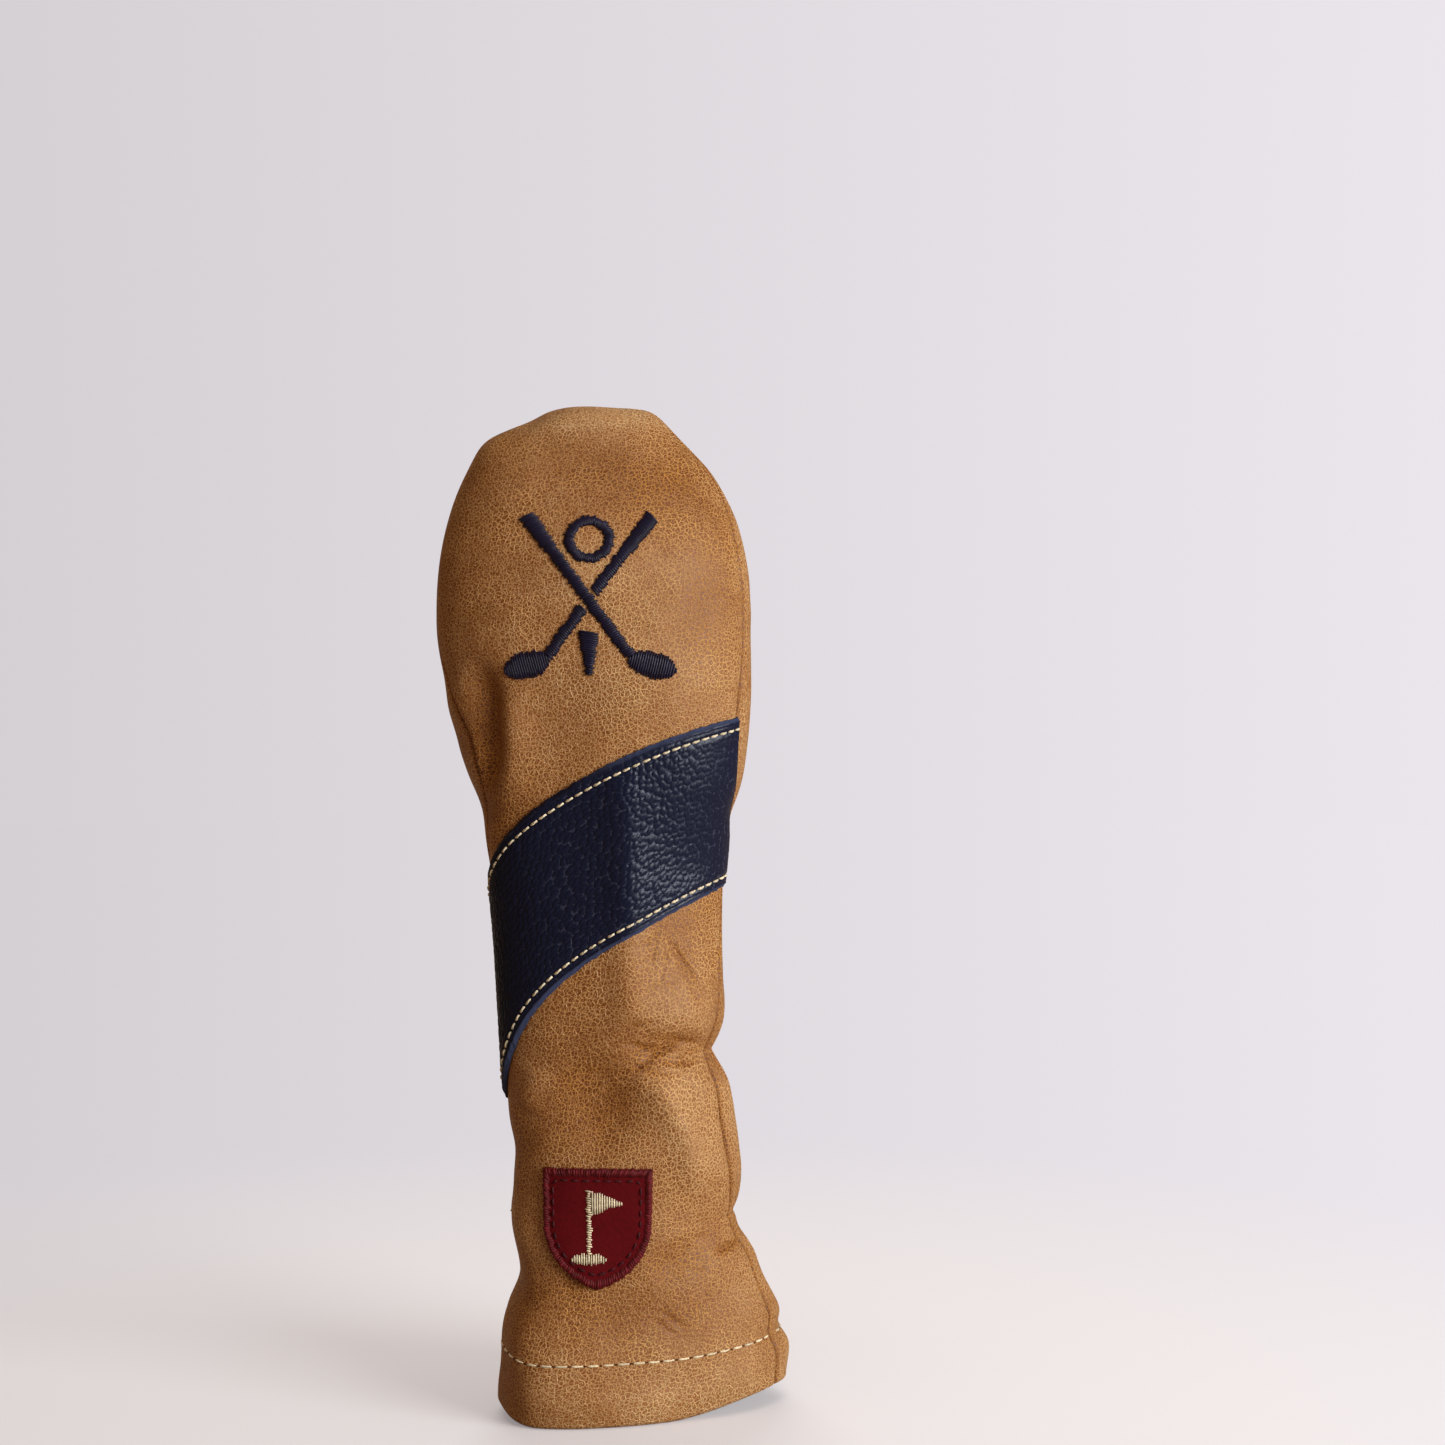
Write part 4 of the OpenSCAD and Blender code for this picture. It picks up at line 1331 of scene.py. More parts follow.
@dataclass
class LiningPanel:
    """One panel of the fleece lining, inside the leather."""

    panel: Panel
    depth: float = 2.4
    thickness: float = 2.5
    start: float = 25.3
    pile_d: float = 0.35
    girth: float = 95
    pile: SoftNoise = field(default_factory=lambda: SoftNoise(21, 1.7))

    def build(self, name: str) -> Piece:
        """Lofts the lining with its pile inside.

        Args:
            name: Name of the piece.

        Returns:
            The piece.
        """
        dome = FORM.crown_z + (FORM.total_h - FORM.crown_z) * np.sin(np.linspace(0, np.pi / 2, 46))
        z = np.concatenate([np.linspace(self.start, FORM.crown_z, 151), dome[1:]])
        rows, columns = np.meshgrid(z, shares(80, 0.4), indexing="ij")
        pile = self.pile_d * self.pile(columns * self.girth, rows)
        inner = FORM.point(rows, columns, self.depth + self.thickness + pile, self.panel)
        outer = FORM.point(rows, columns, self.depth, self.panel)
        return Bench.shell(name, outer, inner, 1)


@dataclass
class Sleeve:
    """The leather sleeve with its lining."""

    finishes: Finishes
    front_flat: Place = (0.116, 0.335)
    front_area: float = 0.031
    rear_flat: Place = (0.156, 0.336)
    rear_area: float = 0.0397
    front_lining_flat: Place = (0.108, 0.287)
    front_lining_area: float = 0.0242
    rear_lining_flat: Place = (0.144, 0.291)
    rear_lining_area: float = 0.0307

    def build(self) -> None:
        """Makes the four panels."""
        f = self.finishes
        front = LeatherPanel(Panel.FRONT, FRONT_TONE_AND_SHADE).build("front_leather")
        dress(front, f.tan, "tan_leather", "front_panel")
        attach(front, Body.COVER.value)
        rear = LeatherPanel(Panel.REAR, REAR_TONE_AND_SHADE).build("rear_leather")
        dress(rear, f.tan, "tan_leather", "rear_crown_panel", "rear_neck_panel")
        ride_neck(rear)
        lining = LiningPanel(Panel.FRONT).build("front_fleece")
        dress(lining, f.fleece, "fleece", "front_lining")
        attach(lining, Body.COVER.value)
        rear_lining = LiningPanel(Panel.REAR, depth=3.0).build("rear_fleece")
        dress(rear_lining, f.fleece, "fleece", "rear_crown_lining", "rear_neck_lining")
        ride_neck(rear_lining)


@dataclass
class StitchLine:
    """A run of stitches along a line of points on the sleeve."""

    pitch: float
    length: float
    thick: float = 0.75
    sink: float = 0.12
    arch: float = 0.22
    hole: float = 0.3
    hole_sink: float = 0.13
    hole_w: float = 1.05
    wander: float = 0.05
    strand: Strand | None = None

    def spread(self, points: Array, ups: Array, length: float, shift: float) -> tuple[Array, Array, Array]:
        """Spreads equal lengths along a line.

        Args:
            points: Points along the line, in millimetres.
            ups: Outward directions at the points.
            length: How long each one is.
            shift: How far they lie from the stitches' own places, as a share of the pitch.

        Returns:
            Where each one starts and ends, and the outward direction at it.
        """
        sums = run_along(points)
        count = int(sums[-1] / self.pitch)
        middle = sums[-1] / count * (np.arange(count) + 0.5 + shift)
        off = np.random.default_rng(count).uniform(-self.wander, self.wander, (count, 2)) * self.pitch
        starts = at_distances(middle - length / 2 + off[:, 0], sums, points)
        ends = at_distances(middle + length / 2 + off[:, 1], sums, points)
        return starts, ends, unit(at_distances(middle, sums, ups))

    def build(self, name: str, points: Array, ups: Array) -> Piece:
        """Lays the stitches.

        Args:
            name: Name of the piece.
            points: Points along the line, in millimetres.
            ups: Outward directions at the points.

        Returns:
            The piece.
        """
        starts, ends, up = self.spread(points, ups, self.length, 0)
        sunk = up * self.sink
        return self.strand.laid(name, starts - sunk, ends - sunk, up, self.thick, self.arch + self.sink)

    def holes(self, name: str, points: Array, ups: Array) -> Piece:
        """Makes dark marks for the needle holes between the stitches, painted shade in the holes.

        Args:
            name: Name of the piece.
            points: Points along the line, in millimetres.
            ups: Outward directions at the points.

        Returns:
            The piece.
        """
        length = self.pitch - self.length + self.hole
        starts, ends, up = (v[:-1] for v in self.spread(points, ups, length, 0.5))
        sunk = up * self.hole_sink
        return self.strand.laid(name, starts - sunk, ends - sunk, up, self.thick * self.hole_w, 0.0)


@dataclass
class NavyStripe:
    """The slanting stripe of pebbled leather, sewn along both edges."""

    finishes: Finishes
    strand: Strand
    left_z: float = 118
    right_z: float = 172
    bow: float = 11.5
    left_w: float = 41
    right_w: float = 48
    run: float = 88.5
    top: float = 1.6
    under: float = 0.3
    bevel: float = 1.3
    inset: float = 3.2
    pebble_d: float = 0.32
    pebble_w: float = 1.9
    wrap: float = 22
    tight: float = 0.22
    tight_over: float = 0.45
    calm: float = 0.8
    calm_from: float = 0.55
    calm_over: float = 0.3
    rim_d: float = 0.25
    rim_w: float = 1.5
    edge_rise: float = 0.45
    groove_d: float = 0.3
    groove_w: float = 0.7
    press_d: float = 0.22
    press_w: float = 0.45
    end_d: float = 0.5
    end_w: float = 0.8
    columns: int = 318
    rows: int = 144
    coarse: int = 3
    stitch: StitchLine = field(default_factory=lambda: StitchLine(3.0, 2.35))

    def half(self, t: Array) -> Array:
        """Returns half the stripe's width at the shares across."""
        return mix(self.right_w, self.left_w, t) / 2

    def height(self, t: Array, off: Array) -> Array:
        """Returns heights at the shares across, a distance off the stripe's middle line."""
        slope = (self.left_z - self.right_z + 4 * self.bow * (1 - 2 * t)) / self.run
        return mix(self.right_z, self.left_z, t) + 4 * self.bow * t * (1 - t) + off * np.sqrt(1 + slope**2)

    def point(self, t: Array, off: Array, lift: Array | float) -> Array:
        """Returns points of the stripe, lifted off the tan leather."""
        return FORM.point(self.height(t, off), t, -np.asarray(lift, float), Panel.FRONT)

    def normals(self, t: Array, off: Array) -> Array:
        """Finds which way the stripe faces along a line.

        Args:
            t: Shares across.
            off: Distances off its middle line.

        Returns:
            Outward directions.
        """
        step = 0.004
        along = self.point(t - step, off, self.top) - self.point(t + step, off, self.top)
        up = self.point(t, off + 0.5, self.top) - self.point(t, off - 0.5, self.top)
        return unit(np.cross(along, up))

    def build(self) -> None:
        """Makes the stripe and its stitches."""
        t, s = np.meshgrid(shares(self.columns, 0.25), np.linspace(-1, 1, self.rows + 1))
        half = self.half(t)
        ragged = SoftNoise(31, 1.3)
        edge = half * (1 - np.abs(s))
        u = t * (self.run + self.wrap)
        rim = self.rim_d * ragged(u, s * 40) * bell(edge, self.rim_w)
        off = s * half + np.sign(s) * rim
        pebbles = Pebbles(12, self.pebble_w)
        high = pebbles(0.84 * u + 0.3 * ragged(u, off), off * 1.15 + 0.3 * ragged(off, u))
        flat = eased((edge - self.bevel * 0.6) / 2.0)
        groove = self.groove_d * bell(edge - self.inset, self.groove_w)
        press = self.press_d * bell(edge - self.bevel * 1.25, self.press_w)
        drawn = mix(self.tight, 1, eased(t / self.tight_over))
        relief = self.pebble_d * drawn * (high - 0.6) * flat
        lift = mix(self.under + self.edge_rise, self.top, eased(edge / self.bevel)) + relief - groove - press
        ends = np.minimum(t, 1 - t) * (self.run + self.wrap)
        outer = self.point(t, off, lift - self.end_d * bell(ends, self.end_w))
        k = self.coarse
        inner = self.point(t[::k, ::k], off[::k, ::k], self.under)
        piece = Bench.shell("navy_stripe", outer, inner, k)
        lower = np.where(s < 0, 1.0, 0.75 * eased((0.62 - t) / 0.2))
        raw = lower * (1 - eased((edge - self.bevel * 0.55) / 0.5))
        Bench.paint(piece, "cut_edge", raw)
        # The pebbles' painted glint and wear fade out towards the stripe's left end.
        shown = mix(high, 0.5, self.calm * eased((t - self.calm_from) / self.calm_over))
        Bench.paint(piece, "pebble", shown)
        dress(piece, self.finishes.navy, "navy_leather", "stripe")
        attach(piece, Body.COVER.value)
        self.sew()

    def sew(self) -> None:
        """Lays the stitches along both edges."""
        t = np.linspace(0.006, 0.994, 160)
        self.stitch.strand = self.strand
        for side, word in ((1, "upper"), (-1, "lower")):
            off = side * (self.half(t) - self.inset)
            line = self.point(t, off, self.top - 0.12)
            piece = self.stitch.build(f"stripe_{word}_stitches", line, self.normals(t, off))
            dress(piece, self.finishes.cream, "cream_thread", f"stripe_{word}_stitching")
            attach(piece, Body.COVER.value)


@dataclass
class SewnLines:
    """The stitches of the hem, of the elastics and of the crown's hidden seam, with the elastics."""

    finishes: Finishes
    strand: Strand
    hem_z: float = 17.5
    hem: StitchLine = field(default_factory=lambda: StitchLine(4.2, 3.3, 0.64))
    band: StitchLine = field(default_factory=lambda: StitchLine(3.0, 2.2, 0.6))
    margin: float = 0.04
    front_margin: float = 0.004
    hem_middle: float = 0
    neck_middle: float = -6
    elastic_w: float = 8
    elastic_t: float = 1
    elastic_depth: float = 1.7
    seam_pitch: float = 8
    seam_depth: float = 1.5
    seam_start: float = 112
    seam_edge: float = 1.5
    seam_thick: float = 0.45
    seam_top: float = 0.97
    seam_middle: float = -10
    crown_stitches: int = 8

    def line(self, z: float, panel: Panel, margin: float, middle_x: float) -> tuple[Array, Array]:
        """Draws a line across a panel at one height.

        Args:
            z: The height.
            panel: Which panel.
            margin: Share of the panel that is left free at each end.
            middle_x: Sideways place that the directions point away from.

        Returns:
            Points along the line and outward directions at them.
        """
        t = np.linspace(margin, 1 - margin, 200)
        rows = np.full(t.shape, z)
        points = FORM.point(rows, t, 0.0, panel)
        along = FORM.point(rows, t + 0.003, 0.0, panel) - FORM.point(rows, t - 0.003, 0.0, panel)
        up = FORM.point(rows + 0.5, t, 0.0, panel) - FORM.point(rows - 0.5, t, 0.0, panel)
        ups = unit(np.cross(up, along))
        outwards = (ups * (points - [middle_x, 0, z])).sum(1, keepdims=True)
        return points, np.where(outwards < 0, -ups, ups)

    def build(self) -> None:
        """Makes every line of stitches and both elastics."""
        f = self.finishes
        self.hem.strand = self.band.strand = self.strand
        for panel, word in ((Panel.FRONT, "front"), (Panel.REAR, "rear")):
            margin = self.front_margin if panel is Panel.FRONT else self.margin
            points, ups = self.line(self.hem_z, panel, margin, self.hem_middle)
            piece = self.hem.build(f"{word}_hem_stitches", points, ups)
            dress(piece, f.cream, "cream_thread", f"{word}_hem_stitching")
            holes = dress(self.hem.holes(f"{word}_hem_holes", points, ups), f.hole_shade, "tan_leather")
            for each in (piece, holes):
                if panel is Panel.FRONT:
                    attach(each, Body.COVER.value)
                else:
                    ride_neck(each)
        for word, z in (("upper", FORM.upper_gather_z), ("lower", FORM.lower_gather_z)):
            points, ups = self.line(z, Panel.REAR, self.margin, self.neck_middle)
            piece = self.band.build(f"{word}_elastic_stitches", points, ups)
            dress(piece, f.tan_thread, "tan_thread", f"{word}_elastic_stitching")
            ride_neck(piece)
            self.elastic(word, z)
        self.seam()

    def elastic(self, word: str, z: float) -> None:
        """Makes one elastic, between the leather and the lining of the rear neck.

        Args:
            word: Which elastic.
            z: Its height.
        """
        rows, columns = np.meshgrid(
            np.linspace(z - self.elastic_w / 2, z + self.elastic_w / 2, 13),
            np.linspace(self.margin, 1 - self.margin, 121), indexing="ij")
        outer = FORM.point(rows, columns, self.elastic_depth, Panel.REAR)
        inner = FORM.point(rows, columns, self.elastic_depth + self.elastic_t, Panel.REAR)
        piece = Bench.shell(f"{word}_elastic_band", outer, inner, 1)
        dress(piece, self.finishes.elastic, "elastic", f"{word}_elastic")
        ride_neck(piece)

    def seam(self) -> None:
        """Lays the hidden stitches that join the two panels round the crown."""
        dome = FORM.total_h - FORM.crown_z
        low = np.arange(self.seam_start, FORM.crown_z, self.seam_pitch)
        turn = np.arange(1, self.crown_stitches) / self.crown_stitches * np.pi / 2
        high = FORM.crown_z + dome * np.sin(turn)
        z = np.concatenate([low, high[FORM.rise(high) < self.seam_top]])
        edge = self.seam_edge / FORM.span(z)
        starts = np.concatenate([FORM.point(z, e, self.seam_depth, Panel.FRONT) for e in (edge, 1 - edge)])
        ends = np.concatenate([FORM.point(z, e, self.seam_depth, Panel.REAR) for e in (1 - edge, edge)])
        ups = unit((starts - [self.seam_middle, 0, 0]) * [1, 1, 0])
        piece = self.strand.laid("crown_seam_stitches", starts, ends, ups, self.seam_thick, 0.0)
        dress(piece, self.finishes.tan_thread, "tan_thread", "crown_seam_stitching")
        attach(piece, Body.COVER.value)


@dataclass
class Embroidery:
    """Shapes filled with satin stitches: threads laid side by side across each shape."""

    strand: Strand
    pitch: float = 0.64
    thick: float = 0.76
    rise: float = 0.3
    uneven: float = 0.5
    slant: float = 0.18
    seed: int = 41

    def __post_init__(self) -> None:
        """Starts with no threads."""
        self.draw = np.random.default_rng(self.seed)
        self.starts: list[Array] = []
        self.ends: list[Array] = []

    def across(self, a: Array, b: Array) -> None:
        """Adds threads side by side, with slightly uneven ends.

        Args:
            a: Where the threads start.
            b: Where they end.
        """
        a, b = np.asarray(a, float), np.asarray(b, float)
        run = unit(b - a)
        self.starts.append(a - run * self.draw.uniform(-0.4, 1, (len(a), 1)) * self.uneven)
        self.ends.append(b + run * self.draw.uniform(-0.4, 1, (len(b), 1)) * self.uneven)

    def bar(self, a: Place, b: Place, start_w: float, end_w: float) -> None:
        """Adds a straight bar.

        Args:
            a: Where it starts.
            b: Where it ends.
            start_w: Its width at the start.
            end_w: Its width at the end.
        """
        a, b = np.array(a, float), np.array(b, float)
        run = unit(b - a)
        side = np.array([-run[1], run[0]])
        s = shares(max(3, round(np.linalg.norm(b - a) / self.pitch)))[:, None]
        middle = mix(a, b, s)
        half = side * mix(start_w, end_w, s) / 2
        slant = run * self.slant * mix(start_w, end_w, s)
        self.across(middle - half - slant / 2, middle + half + slant / 2)

    def oval(self, middle: Place, radius_x: float, radius_z: float, tilt: float) -> None:
        """Adds a filled oval, with threads across its length.

        Args:
            middle: Its middle.
            radius_x: Half its length.
            radius_z: Half its width.
            tilt: Its turn, in degrees.
        """
        c, s = math.cos(math.radians(tilt)), math.sin(math.radians(tilt))
        x = np.linspace(-0.97, 0.97, max(4, round(2 * radius_x / self.pitch))) * radius_x
        z = radius_z * np.sqrt(1 - (x / radius_x) ** 2)
        sides = (np.array(middle) + np.stack([x * c - v * s, x * s + v * c], axis=-1) for v in (-z, z))
        self.across(*sides)

    def ring(self, middle: Place, radius: float, width: float) -> None:
        """Adds a ring, with threads from its inside to its outside.

        Args:
            middle: Its middle.
            radius: Its outer radius.
            width: Its width.
        """
        a = np.linspace(0, 2 * np.pi, round(2 * np.pi * radius / self.pitch), endpoint=False)
        way = np.stack([np.cos(a), np.sin(a)], axis=-1)
        self.across(np.array(middle) + way * (radius - width), np.array(middle) + way * radius)

    def build(self, name: str, base: float) -> Piece:
        """Lays the threads on the front.

        Args:
            name: Name of the piece.
            base: Height of the threads' ends above the leather.

        Returns:
            The piece.
        """
        a, b = np.concatenate(self.starts), np.concatenate(self.ends)
        width = np.linalg.norm(b - a, axis=1)
        ups = FORM.front_normal((a + b) / 2)
        arch = np.minimum(self.rise, 0.1 + 0.1 * width)
        return self.strand.laid(name, FORM.on_front(a, base), FORM.on_front(b, base), ups, self.thick, arch)


@dataclass
class Emblem:
    """The embroidered emblem on the crown: two crossed clubs, a ball and a tee, with its stabiliser."""

    finishes: Finishes
    strand: Strand
    width: float = 48
    middle: Place = (-13.5, 230)
    grip_top: Place = (-0.72, 0.9)
    grip_end: Place = (-0.44, 0.52)
    heel: Place = (0.46, -0.7)
    head: Place = (0.71, -0.82)
    ball: Place = (0, 0.62)
    tee_top: Place = (0, -0.45)
    tee_end: Place = (0, -0.92)
    sheet_depths: Place = (1.7, 2.1)
    grip_w: float = 0.09
    shaft_w: float = 0.06
    head_r: Place = (0.135, 0.075)
    head_tilt: float = 14
    ball_r: float = 0.14
    ball_w: float = 0.05
    tee_w: Place = (0.12, 0.035)
    base: float = 0.2

    def at(self, p: Place, side: int = 1) -> Array:
        """Returns the place of a point given in half widths from the emblem's middle."""
        return np.array(self.middle) + np.array([side * p[0], p[1]]) * self.width / 2

    def club(self, work: Embroidery, side: int, cut: bool) -> None:
        """Adds one club.

        Args:
            work: Embroidery that it joins.
            side: Side to which its head lies, 1 or -1.
            cut: Whether its shaft is cut at the crossing, under the other one.
        """
        top, end, heel = (self.at(p, side) for p in (self.grip_top, self.grip_end, self.heel))
        run = unit(heel - top)
        crossing = mix(top, heel, self.grip_top[0] / (self.grip_top[0] - self.heel[0]))
        grip, shaft = self.grip_w * self.width, self.shaft_w * self.width
        work.bar(top, end, grip, 0.8 * grip)
        parts = [(end + run * 0.5, heel)]
        if cut:
            parts = [(end + run * 0.5, crossing - run * shaft), (crossing + run * shaft, heel)]
        for a, b in parts:
            work.bar(a, b, shaft, shaft)
        long, wide = (r * self.width for r in self.head_r)
        work.oval(self.at(self.head, side), long, wide, -self.head_tilt * side)

    def build(self) -> None:
        """Makes the embroidery and the sheet behind it."""
        work = Embroidery(self.strand)
        self.club(work, 1, False)
        self.club(work, -1, True)
        work.ring(self.at(self.ball), self.ball_r * self.width, self.ball_w * self.width)
        tee_w = (w * self.width for w in self.tee_w)
        work.bar(self.at(self.tee_top), self.at(self.tee_end), *tee_w)
        piece = work.build("crossed_clubs_emblem", self.base)
        dress(piece, self.finishes.navy_thread, "navy_thread", "emblem_embroidery")
        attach(piece, Body.COVER.value)
        r, a = np.meshgrid(np.linspace(0.02, 1, 13), np.linspace(0, 2 * np.pi, 73), indexing="ij")
        places = np.array(self.middle) + np.stack([r * np.cos(a), r * np.sin(a)], axis=-1) * self.width / 2
        outer, inner = (FORM.on_front(places, -depth) for depth in self.sheet_depths)
        sheet = Bench.shell("emblem_stabiliser", outer, inner, 1, True)
        dress(sheet, self.finishes.stabiliser, "stabiliser", "emblem_backing")
        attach(sheet, Body.COVER.value)


@dataclass
class ShieldPatch:
    """The sewn-on shield patch: twill, overlocked border, flag and running stitch."""

    finishes: Finishes
    strand: Strand
    width: float = 30
    height: float = 33
    middle: Place = (-11.5, 54)
    border_w: float = 2.0
    cloth_t: float = 0.8
    base: float = 0.3
    side_share: float = 0.45
    point_inset: float = 1.3
    wrap: float = 0.68
    border_run: float = 101
    lean: float = 0.45
    fine_step: float = 0.1
    stitch_inset: float = 1.1
    motif_h: float = 17
    motif_rise: float = 2
    pole_x: float = -0.12
    pole_w: float = 0.07
    flag_h: float = 0.38
    flag_w: float = 0.5
    mound_r: Place = (0.28, 0.08)
    gap: float = 0.3

    def outline(self, inset: float, step: float) -> Array:
        """Draws the shield's outline.

        Args:
            inset: Distance inside its edge.
            step: Distance from one place to the next.

        Returns:
            The places.
        """
        half, top = self.width / 2 - inset, self.height / 2 - inset
        shoulder = self.height * (0.5 - self.side_share)
        drop = shoulder + self.height / 2 - inset * self.point_inset
        back = (drop**2 - half**2) / (2 * half)
        radius = half + back
        sweep = math.asin(drop / radius)
        a = np.linspace(-sweep, 0, 24)
        right = np.stack([radius * np.cos(a) - back, shoulder + radius * np.sin(a)], axis=-1)
        corners = np.concatenate([right, [[half, top], [-half, top]], right[::-1] * [-1, 1]])
        corners = np.concatenate([corners[:-1], corners[:1]])
        sums = run_along(corners)
        d = np.linspace(0, sums[-1], round(sums[-1] / step), endpoint=False)
        return np.array(self.middle) + at_distances(d, sums, corners)

    def spread(self, inset: float, count: int, shift: float) -> Array:
        """Returns places spread evenly round the shield, inset from its edge and shifted along it."""
        line = self.outline(inset, self.fine_step)
        return line[(np.arange(count) / count * len(line) + shift / self.fine_step).astype(int) % len(line)]

    def cloth(self) -> None:
        """Makes the twill."""
        edge = self.outline(self.border_w * 0.5, 0.7)
        edge = np.concatenate([edge, edge[:1]])
        r = np.linspace(0.01, 1, 31)[:, None, None]
        places = np.array(self.middle) + (edge - self.middle) * r
        top = self.base + self.cloth_t
        outer, inner = FORM.on_front(places, top), FORM.on_front(places, self.base)
        piece = Bench.shell("patch_cloth", outer, inner, 1, True)
        Bench.uv(piece, np.concatenate([places.reshape(-1, 2)] * 2))
        dress(piece, self.finishes.red, "red_twill", "patch_twill")
        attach(piece, Body.COVER.value)

    def edging(self) -> None:
        """Wraps the border with thread over a round core."""
        n = round(self.border_run / self.wrap)
        draw = np.random.default_rng(n)
        a, b = self.spread(-0.1, n, 0.0), self.spread(self.border_w, n, self.lean)
        a, b = mix(a, b, draw.uniform(-0.08, 0.08, (n, 1))), mix(b, a, draw.uniform(-0.12, 0.1, (n, 1)))
        ups = FORM.front_normal((a + b) / 2)
        starts, ends = FORM.on_front(a, 0.15), FORM.on_front(b, self.base + self.cloth_t - 0.1)
        thick, arch = draw.uniform(0.68, 0.95, n), draw.uniform(0.65, 1.05, n)
        piece = self.strand.laid("patch_edging", starts, ends, ups, thick, arch)
        dress(piece, self.finishes.red_thread, "red_thread", "patch_border")
        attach(piece, Body.COVER.value)

    def flag(self) -> None:
        """Embroiders the flag, its pole and the mound under it."""
        work = Embroidery(self.strand, thick=0.5, rise=0.4, seed=43)
        h = self.motif_h
        foot = np.array(self.middle) + [self.pole_x * h, self.motif_rise - h / 2]
        work.bar(foot, foot + [0, h], self.pole_w * h, self.pole_w * h)
        hoist = foot + [self.pole_w / 2 * h + self.gap, h]
        s = np.linspace(0.02, 0.94, round(self.flag_w * h / work.pitch))[:, None]
        low, tip = hoist - [0, self.flag_h * h], hoist + [self.flag_w * h, -self.flag_h / 2 * h]
        work.across(mix(low, tip, s), mix(hoist, tip, s))
        long, high = (r * h for r in self.mound_r)
        work.oval(foot - [0, high + self.gap], long, high, 0)
        piece = work.build("patch_flag", self.base + self.cloth_t)
        dress(piece, self.finishes.cream, "cream_thread", "patch_motif")
        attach(piece, Body.COVER.value)

    def sew(self) -> None:
        """Lays the running stitch inside the border."""
        line = self.outline(self.border_w + self.stitch_inset, 0.4)
        line = np.concatenate([line, line[:1]])
        stitch = StitchLine(3.0, 2.2, 0.6, strand=self.strand)
        points = FORM.on_front(line, self.base + self.cloth_t)
        piece = stitch.build("patch_running_stitch", points, FORM.front_normal(line))
        dress(piece, self.finishes.dark_red, "dark_red_thread", "patch_stitching")
        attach(piece, Body.COVER.value)

    def build(self) -> None:
        """Makes the patch."""
        self.cloth()
        self.edging()
        self.flag()
        self.sew()


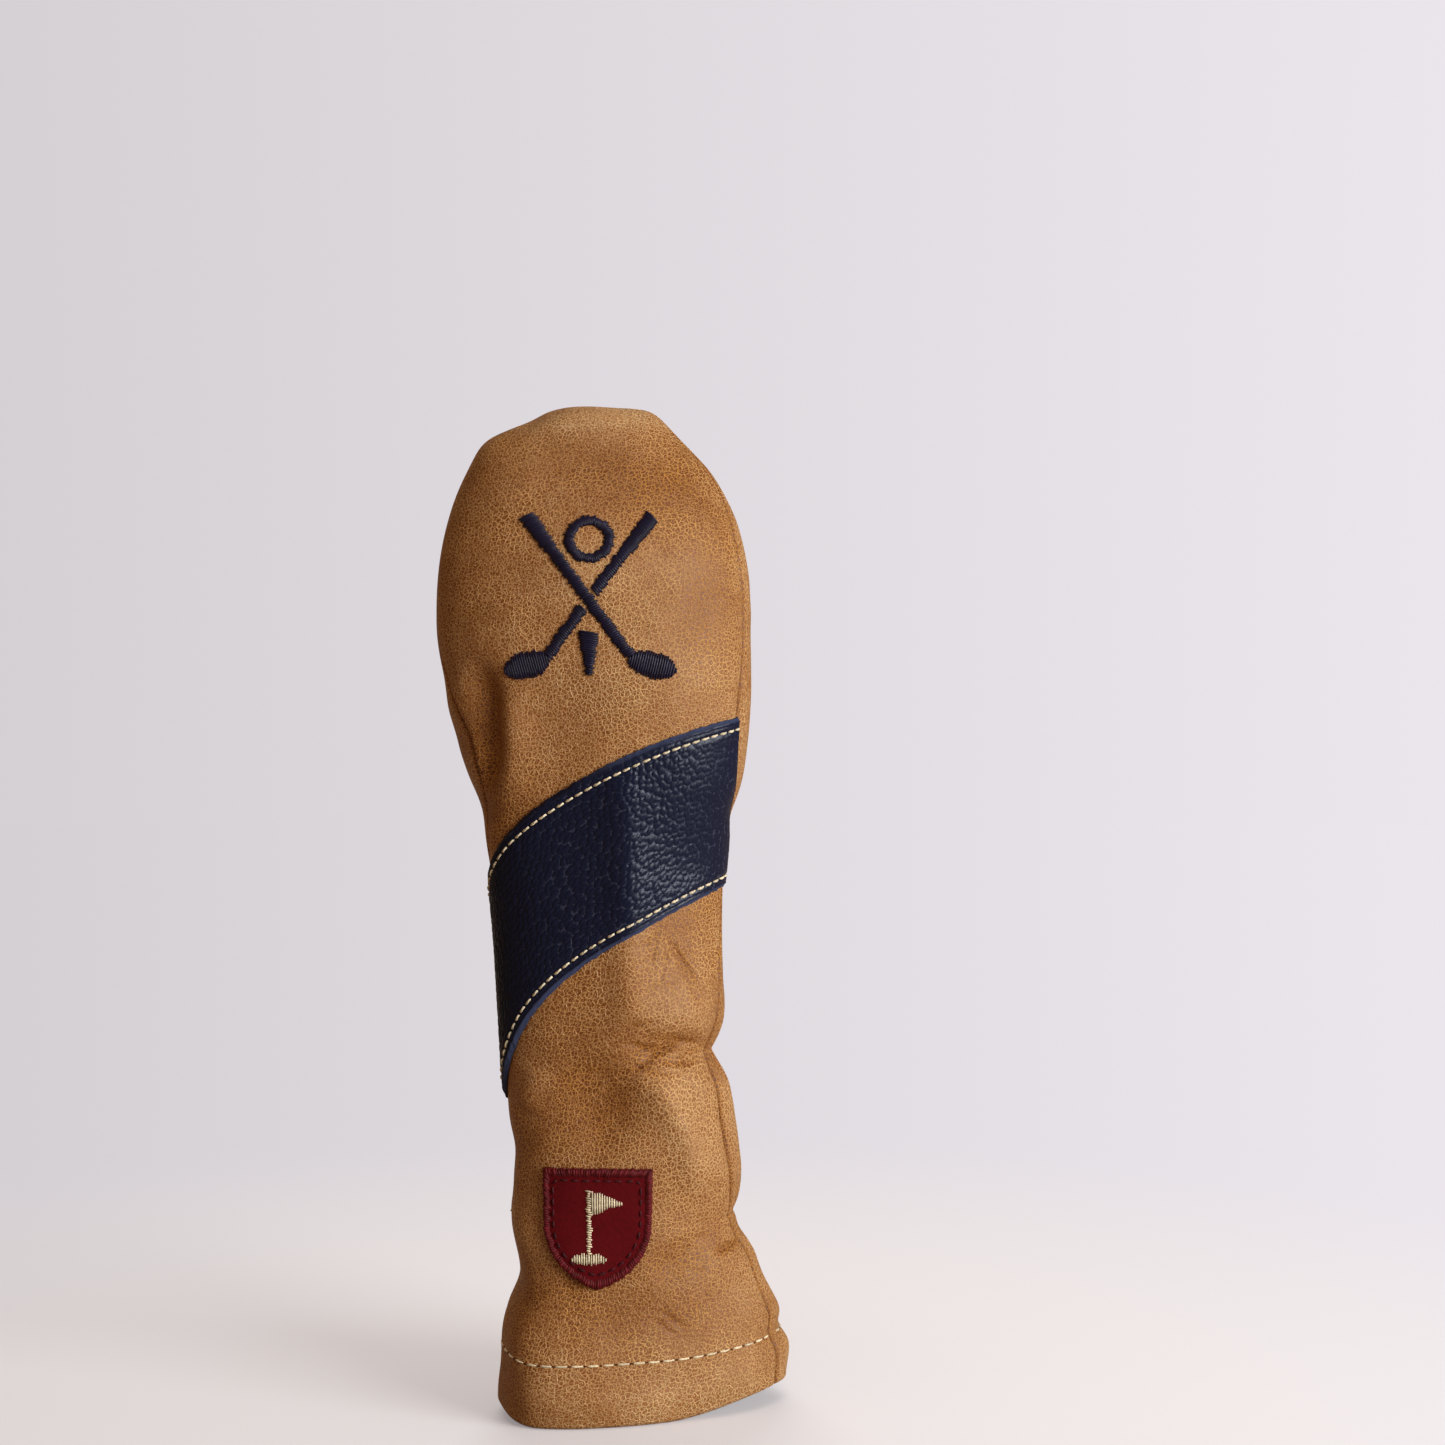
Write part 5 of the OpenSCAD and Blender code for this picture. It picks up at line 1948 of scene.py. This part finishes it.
@dataclass
class Studio:
    """The pale floor, the lamps and the camera."""

    eye: tuple[float, float, float] = (0.0233, -0.672, 0.1945)
    focal_px: float = 2340
    image_px: float = 1445
    sensor: float = 36
    # Backdrop colours, painted darker to the left and brighter to the right.
    left: Colour = (0.665, 0.63, 0.655)
    right: Colour = (0.83, 0.79, 0.835)
    dim: Colour = (0.225, 0.115, 0.048)
    bright: Colour = (0.2, 0.185, 0.175)
    bounce: Colour = (0.34, 0.26, 0.2)
    pale: Colour = (0.93, 0.925, 0.935)
    lamplight: Colour = (1, 0.98, 0.96)
    floor_r: float = 4
    floor_z: float = -0.0001
    near_r: float = 0.1
    far_r: float = 0.45
    near_glow: float = 0.35
    backdrop_reach: float = 0.3
    room_reach: float = 0.9
    lamp_shape: float = 0.7
    aim: tuple[float, float, float] = (0, 0, 0.14)

    @staticmethod
    def across(n: Tree, x: Socket, reach: float, left: Colour, right: Colour) -> Socket:
        """Returns a colour that goes from left to right as x goes from -reach to reach."""
        return n.blend(n.between(x, -reach, reach), left, right)

    def floor(self) -> None:
        """Lays the floor, which fades into the backdrop away from the object."""
        bpy.ops.object.select_all(action="DESELECT")
        bpy.ops.mesh.primitive_circle_add(
            vertices=96, radius=self.floor_r, fill_type="NGON", location=(0, 0, self.floor_z))
        floor = bpy.context.active_object
        floor.name = "studio_floor"
        n = Nodes("pale_floor")
        seen = n.add("ShaderNodeLightPath").outputs["Is Camera Ray"]
        n.shade(Base_Color=n.blend(seen, self.bounce, self.pale), Roughness=0.7, Specular_IOR_Level=0.1)
        x, y, _ = n.split(n.vector("SUBTRACT", {0: n.object, 1: self.eye}))
        slant = n.sum("DIVIDE", x, n.sum("MAXIMUM", n.sum("ABSOLUTE", y), 0.1))
        far = n.vector("LENGTH", {0: n.object}, 1)
        # Painted light: for the camera the floor glows in the backdrop's colours, darker to the left and
        # brighter to the right, partly near the object and fully further away.
        backdrop = self.across(n, slant, self.backdrop_reach, self.left, self.right)
        glow = n.add("ShaderNodeEmission", {"Color": backdrop})
        wanted = {0: far, 1: self.near_r, 2: self.far_r, 3: self.near_glow}
        fade = n.add("ShaderNodeMapRange", wanted, interpolation_type="SMOOTHSTEP").outputs[0]
        share = n.sum("MULTIPLY", fade, seen)
        join = n.add("ShaderNodeMixShader", {0: share, 1: n.shader.outputs[0], 2: glow.outputs[0]})
        n.set(n.tree.nodes["Material Output"].inputs[0], join.outputs[0])
        floor.data.materials.append(n.material)

    def world(self) -> None:
        """Sets the room that the object is lit by, dim and warm to the left, and the pale backdrop."""
        world = bpy.data.worlds.new("studio")
        bpy.context.scene.world = world
        world.use_nodes = True
        n = Tree(world.node_tree)
        x = n.split(n.add("ShaderNodeTexCoord").outputs["Generated"])[0]
        light = n.tree.nodes["Background"]
        n.set(light.inputs[0], self.across(n, x, self.room_reach, self.dim, self.bright))
        # Painted light: the backdrop that the camera sees is darker to the left and brighter to the right.
        backdrop = self.across(n, x, self.backdrop_reach, self.left, self.right)
        shown = n.add("ShaderNodeBackground", {0: backdrop})
        seen = n.add("ShaderNodeLightPath").outputs["Is Camera Ray"]
        join = n.add("ShaderNodeMixShader", {0: seen, 1: light.outputs[0], 2: shown.outputs[0]})
        n.set(n.tree.nodes["World Output"].inputs[0], join.outputs[0])

    def lamp(self, name: str, place: tuple[float, float, float], size: float, power: float) -> Piece:
        """Hangs a soft oblong lamp that looks at the object's middle.

        Args:
            name: Name of the lamp.
            place: Where it hangs, in metres.
            size: Its width.
            power: Its power in watts.

        Returns:
            The lamp.
        """
        data = bpy.data.lights.new(name, "AREA")
        data.shape, data.size, data.size_y = "RECTANGLE", size, self.lamp_shape * size
        data.energy, data.color = power, self.lamplight
        lamp = bpy.data.objects.new(name, data)
        lamp.location = place
        lamp.rotation_euler = (Vector(self.aim) - Vector(place)).to_track_quat("-Z", "Y").to_euler()
        bpy.context.scene.collection.objects.link(lamp)
        return lamp

    def camera(self) -> None:
        """Sets the camera where the photograph was taken from."""
        data = bpy.data.cameras.new("camera")
        data.sensor_width = self.sensor
        data.lens = self.focal_px / self.image_px * self.sensor
        camera = bpy.data.objects.new("camera", data)
        camera.location = self.eye
        camera.rotation_euler = (math.pi / 2, 0, 0)
        bpy.context.scene.collection.objects.link(camera)
        bpy.context.scene.camera = camera

    def build(self) -> None:
        """Sets up the studio."""
        self.camera()
        self.floor()
        self.world()
        self.lamp("key_lamp", (1.03, -0.76, 0.42), 0.8, 19.8)
        rear = self.lamp("rear_lamp", (-0.1, 1.4, 0.8), 1.1, 15)
        top = self.lamp("top_lamp", (0.1, -0.1, 1.4), 1.0, 4)
        rear.visible_glossy = top.visible_glossy = False
        bpy.context.scene.view_settings.view_transform = "Standard"


def main() -> None:
    """Builds the cover piece by piece and the studio round it."""
    logging.basicConfig(level=logging.INFO, format="%(name)s: %(message)s")
    Studio().build()
    finishes = Finishes()
    cord = Strand()
    fine = Strand(sides=6, rings=5, oval=0.9, twist=0, end=0.6)
    Sleeve(finishes).build()
    NavyStripe(finishes, cord).build()
    SewnLines(finishes, cord).build()
    Emblem(finishes, fine).build()
    ShieldPatch(finishes, fine).build()


if __name__ == "__main__":
    main()
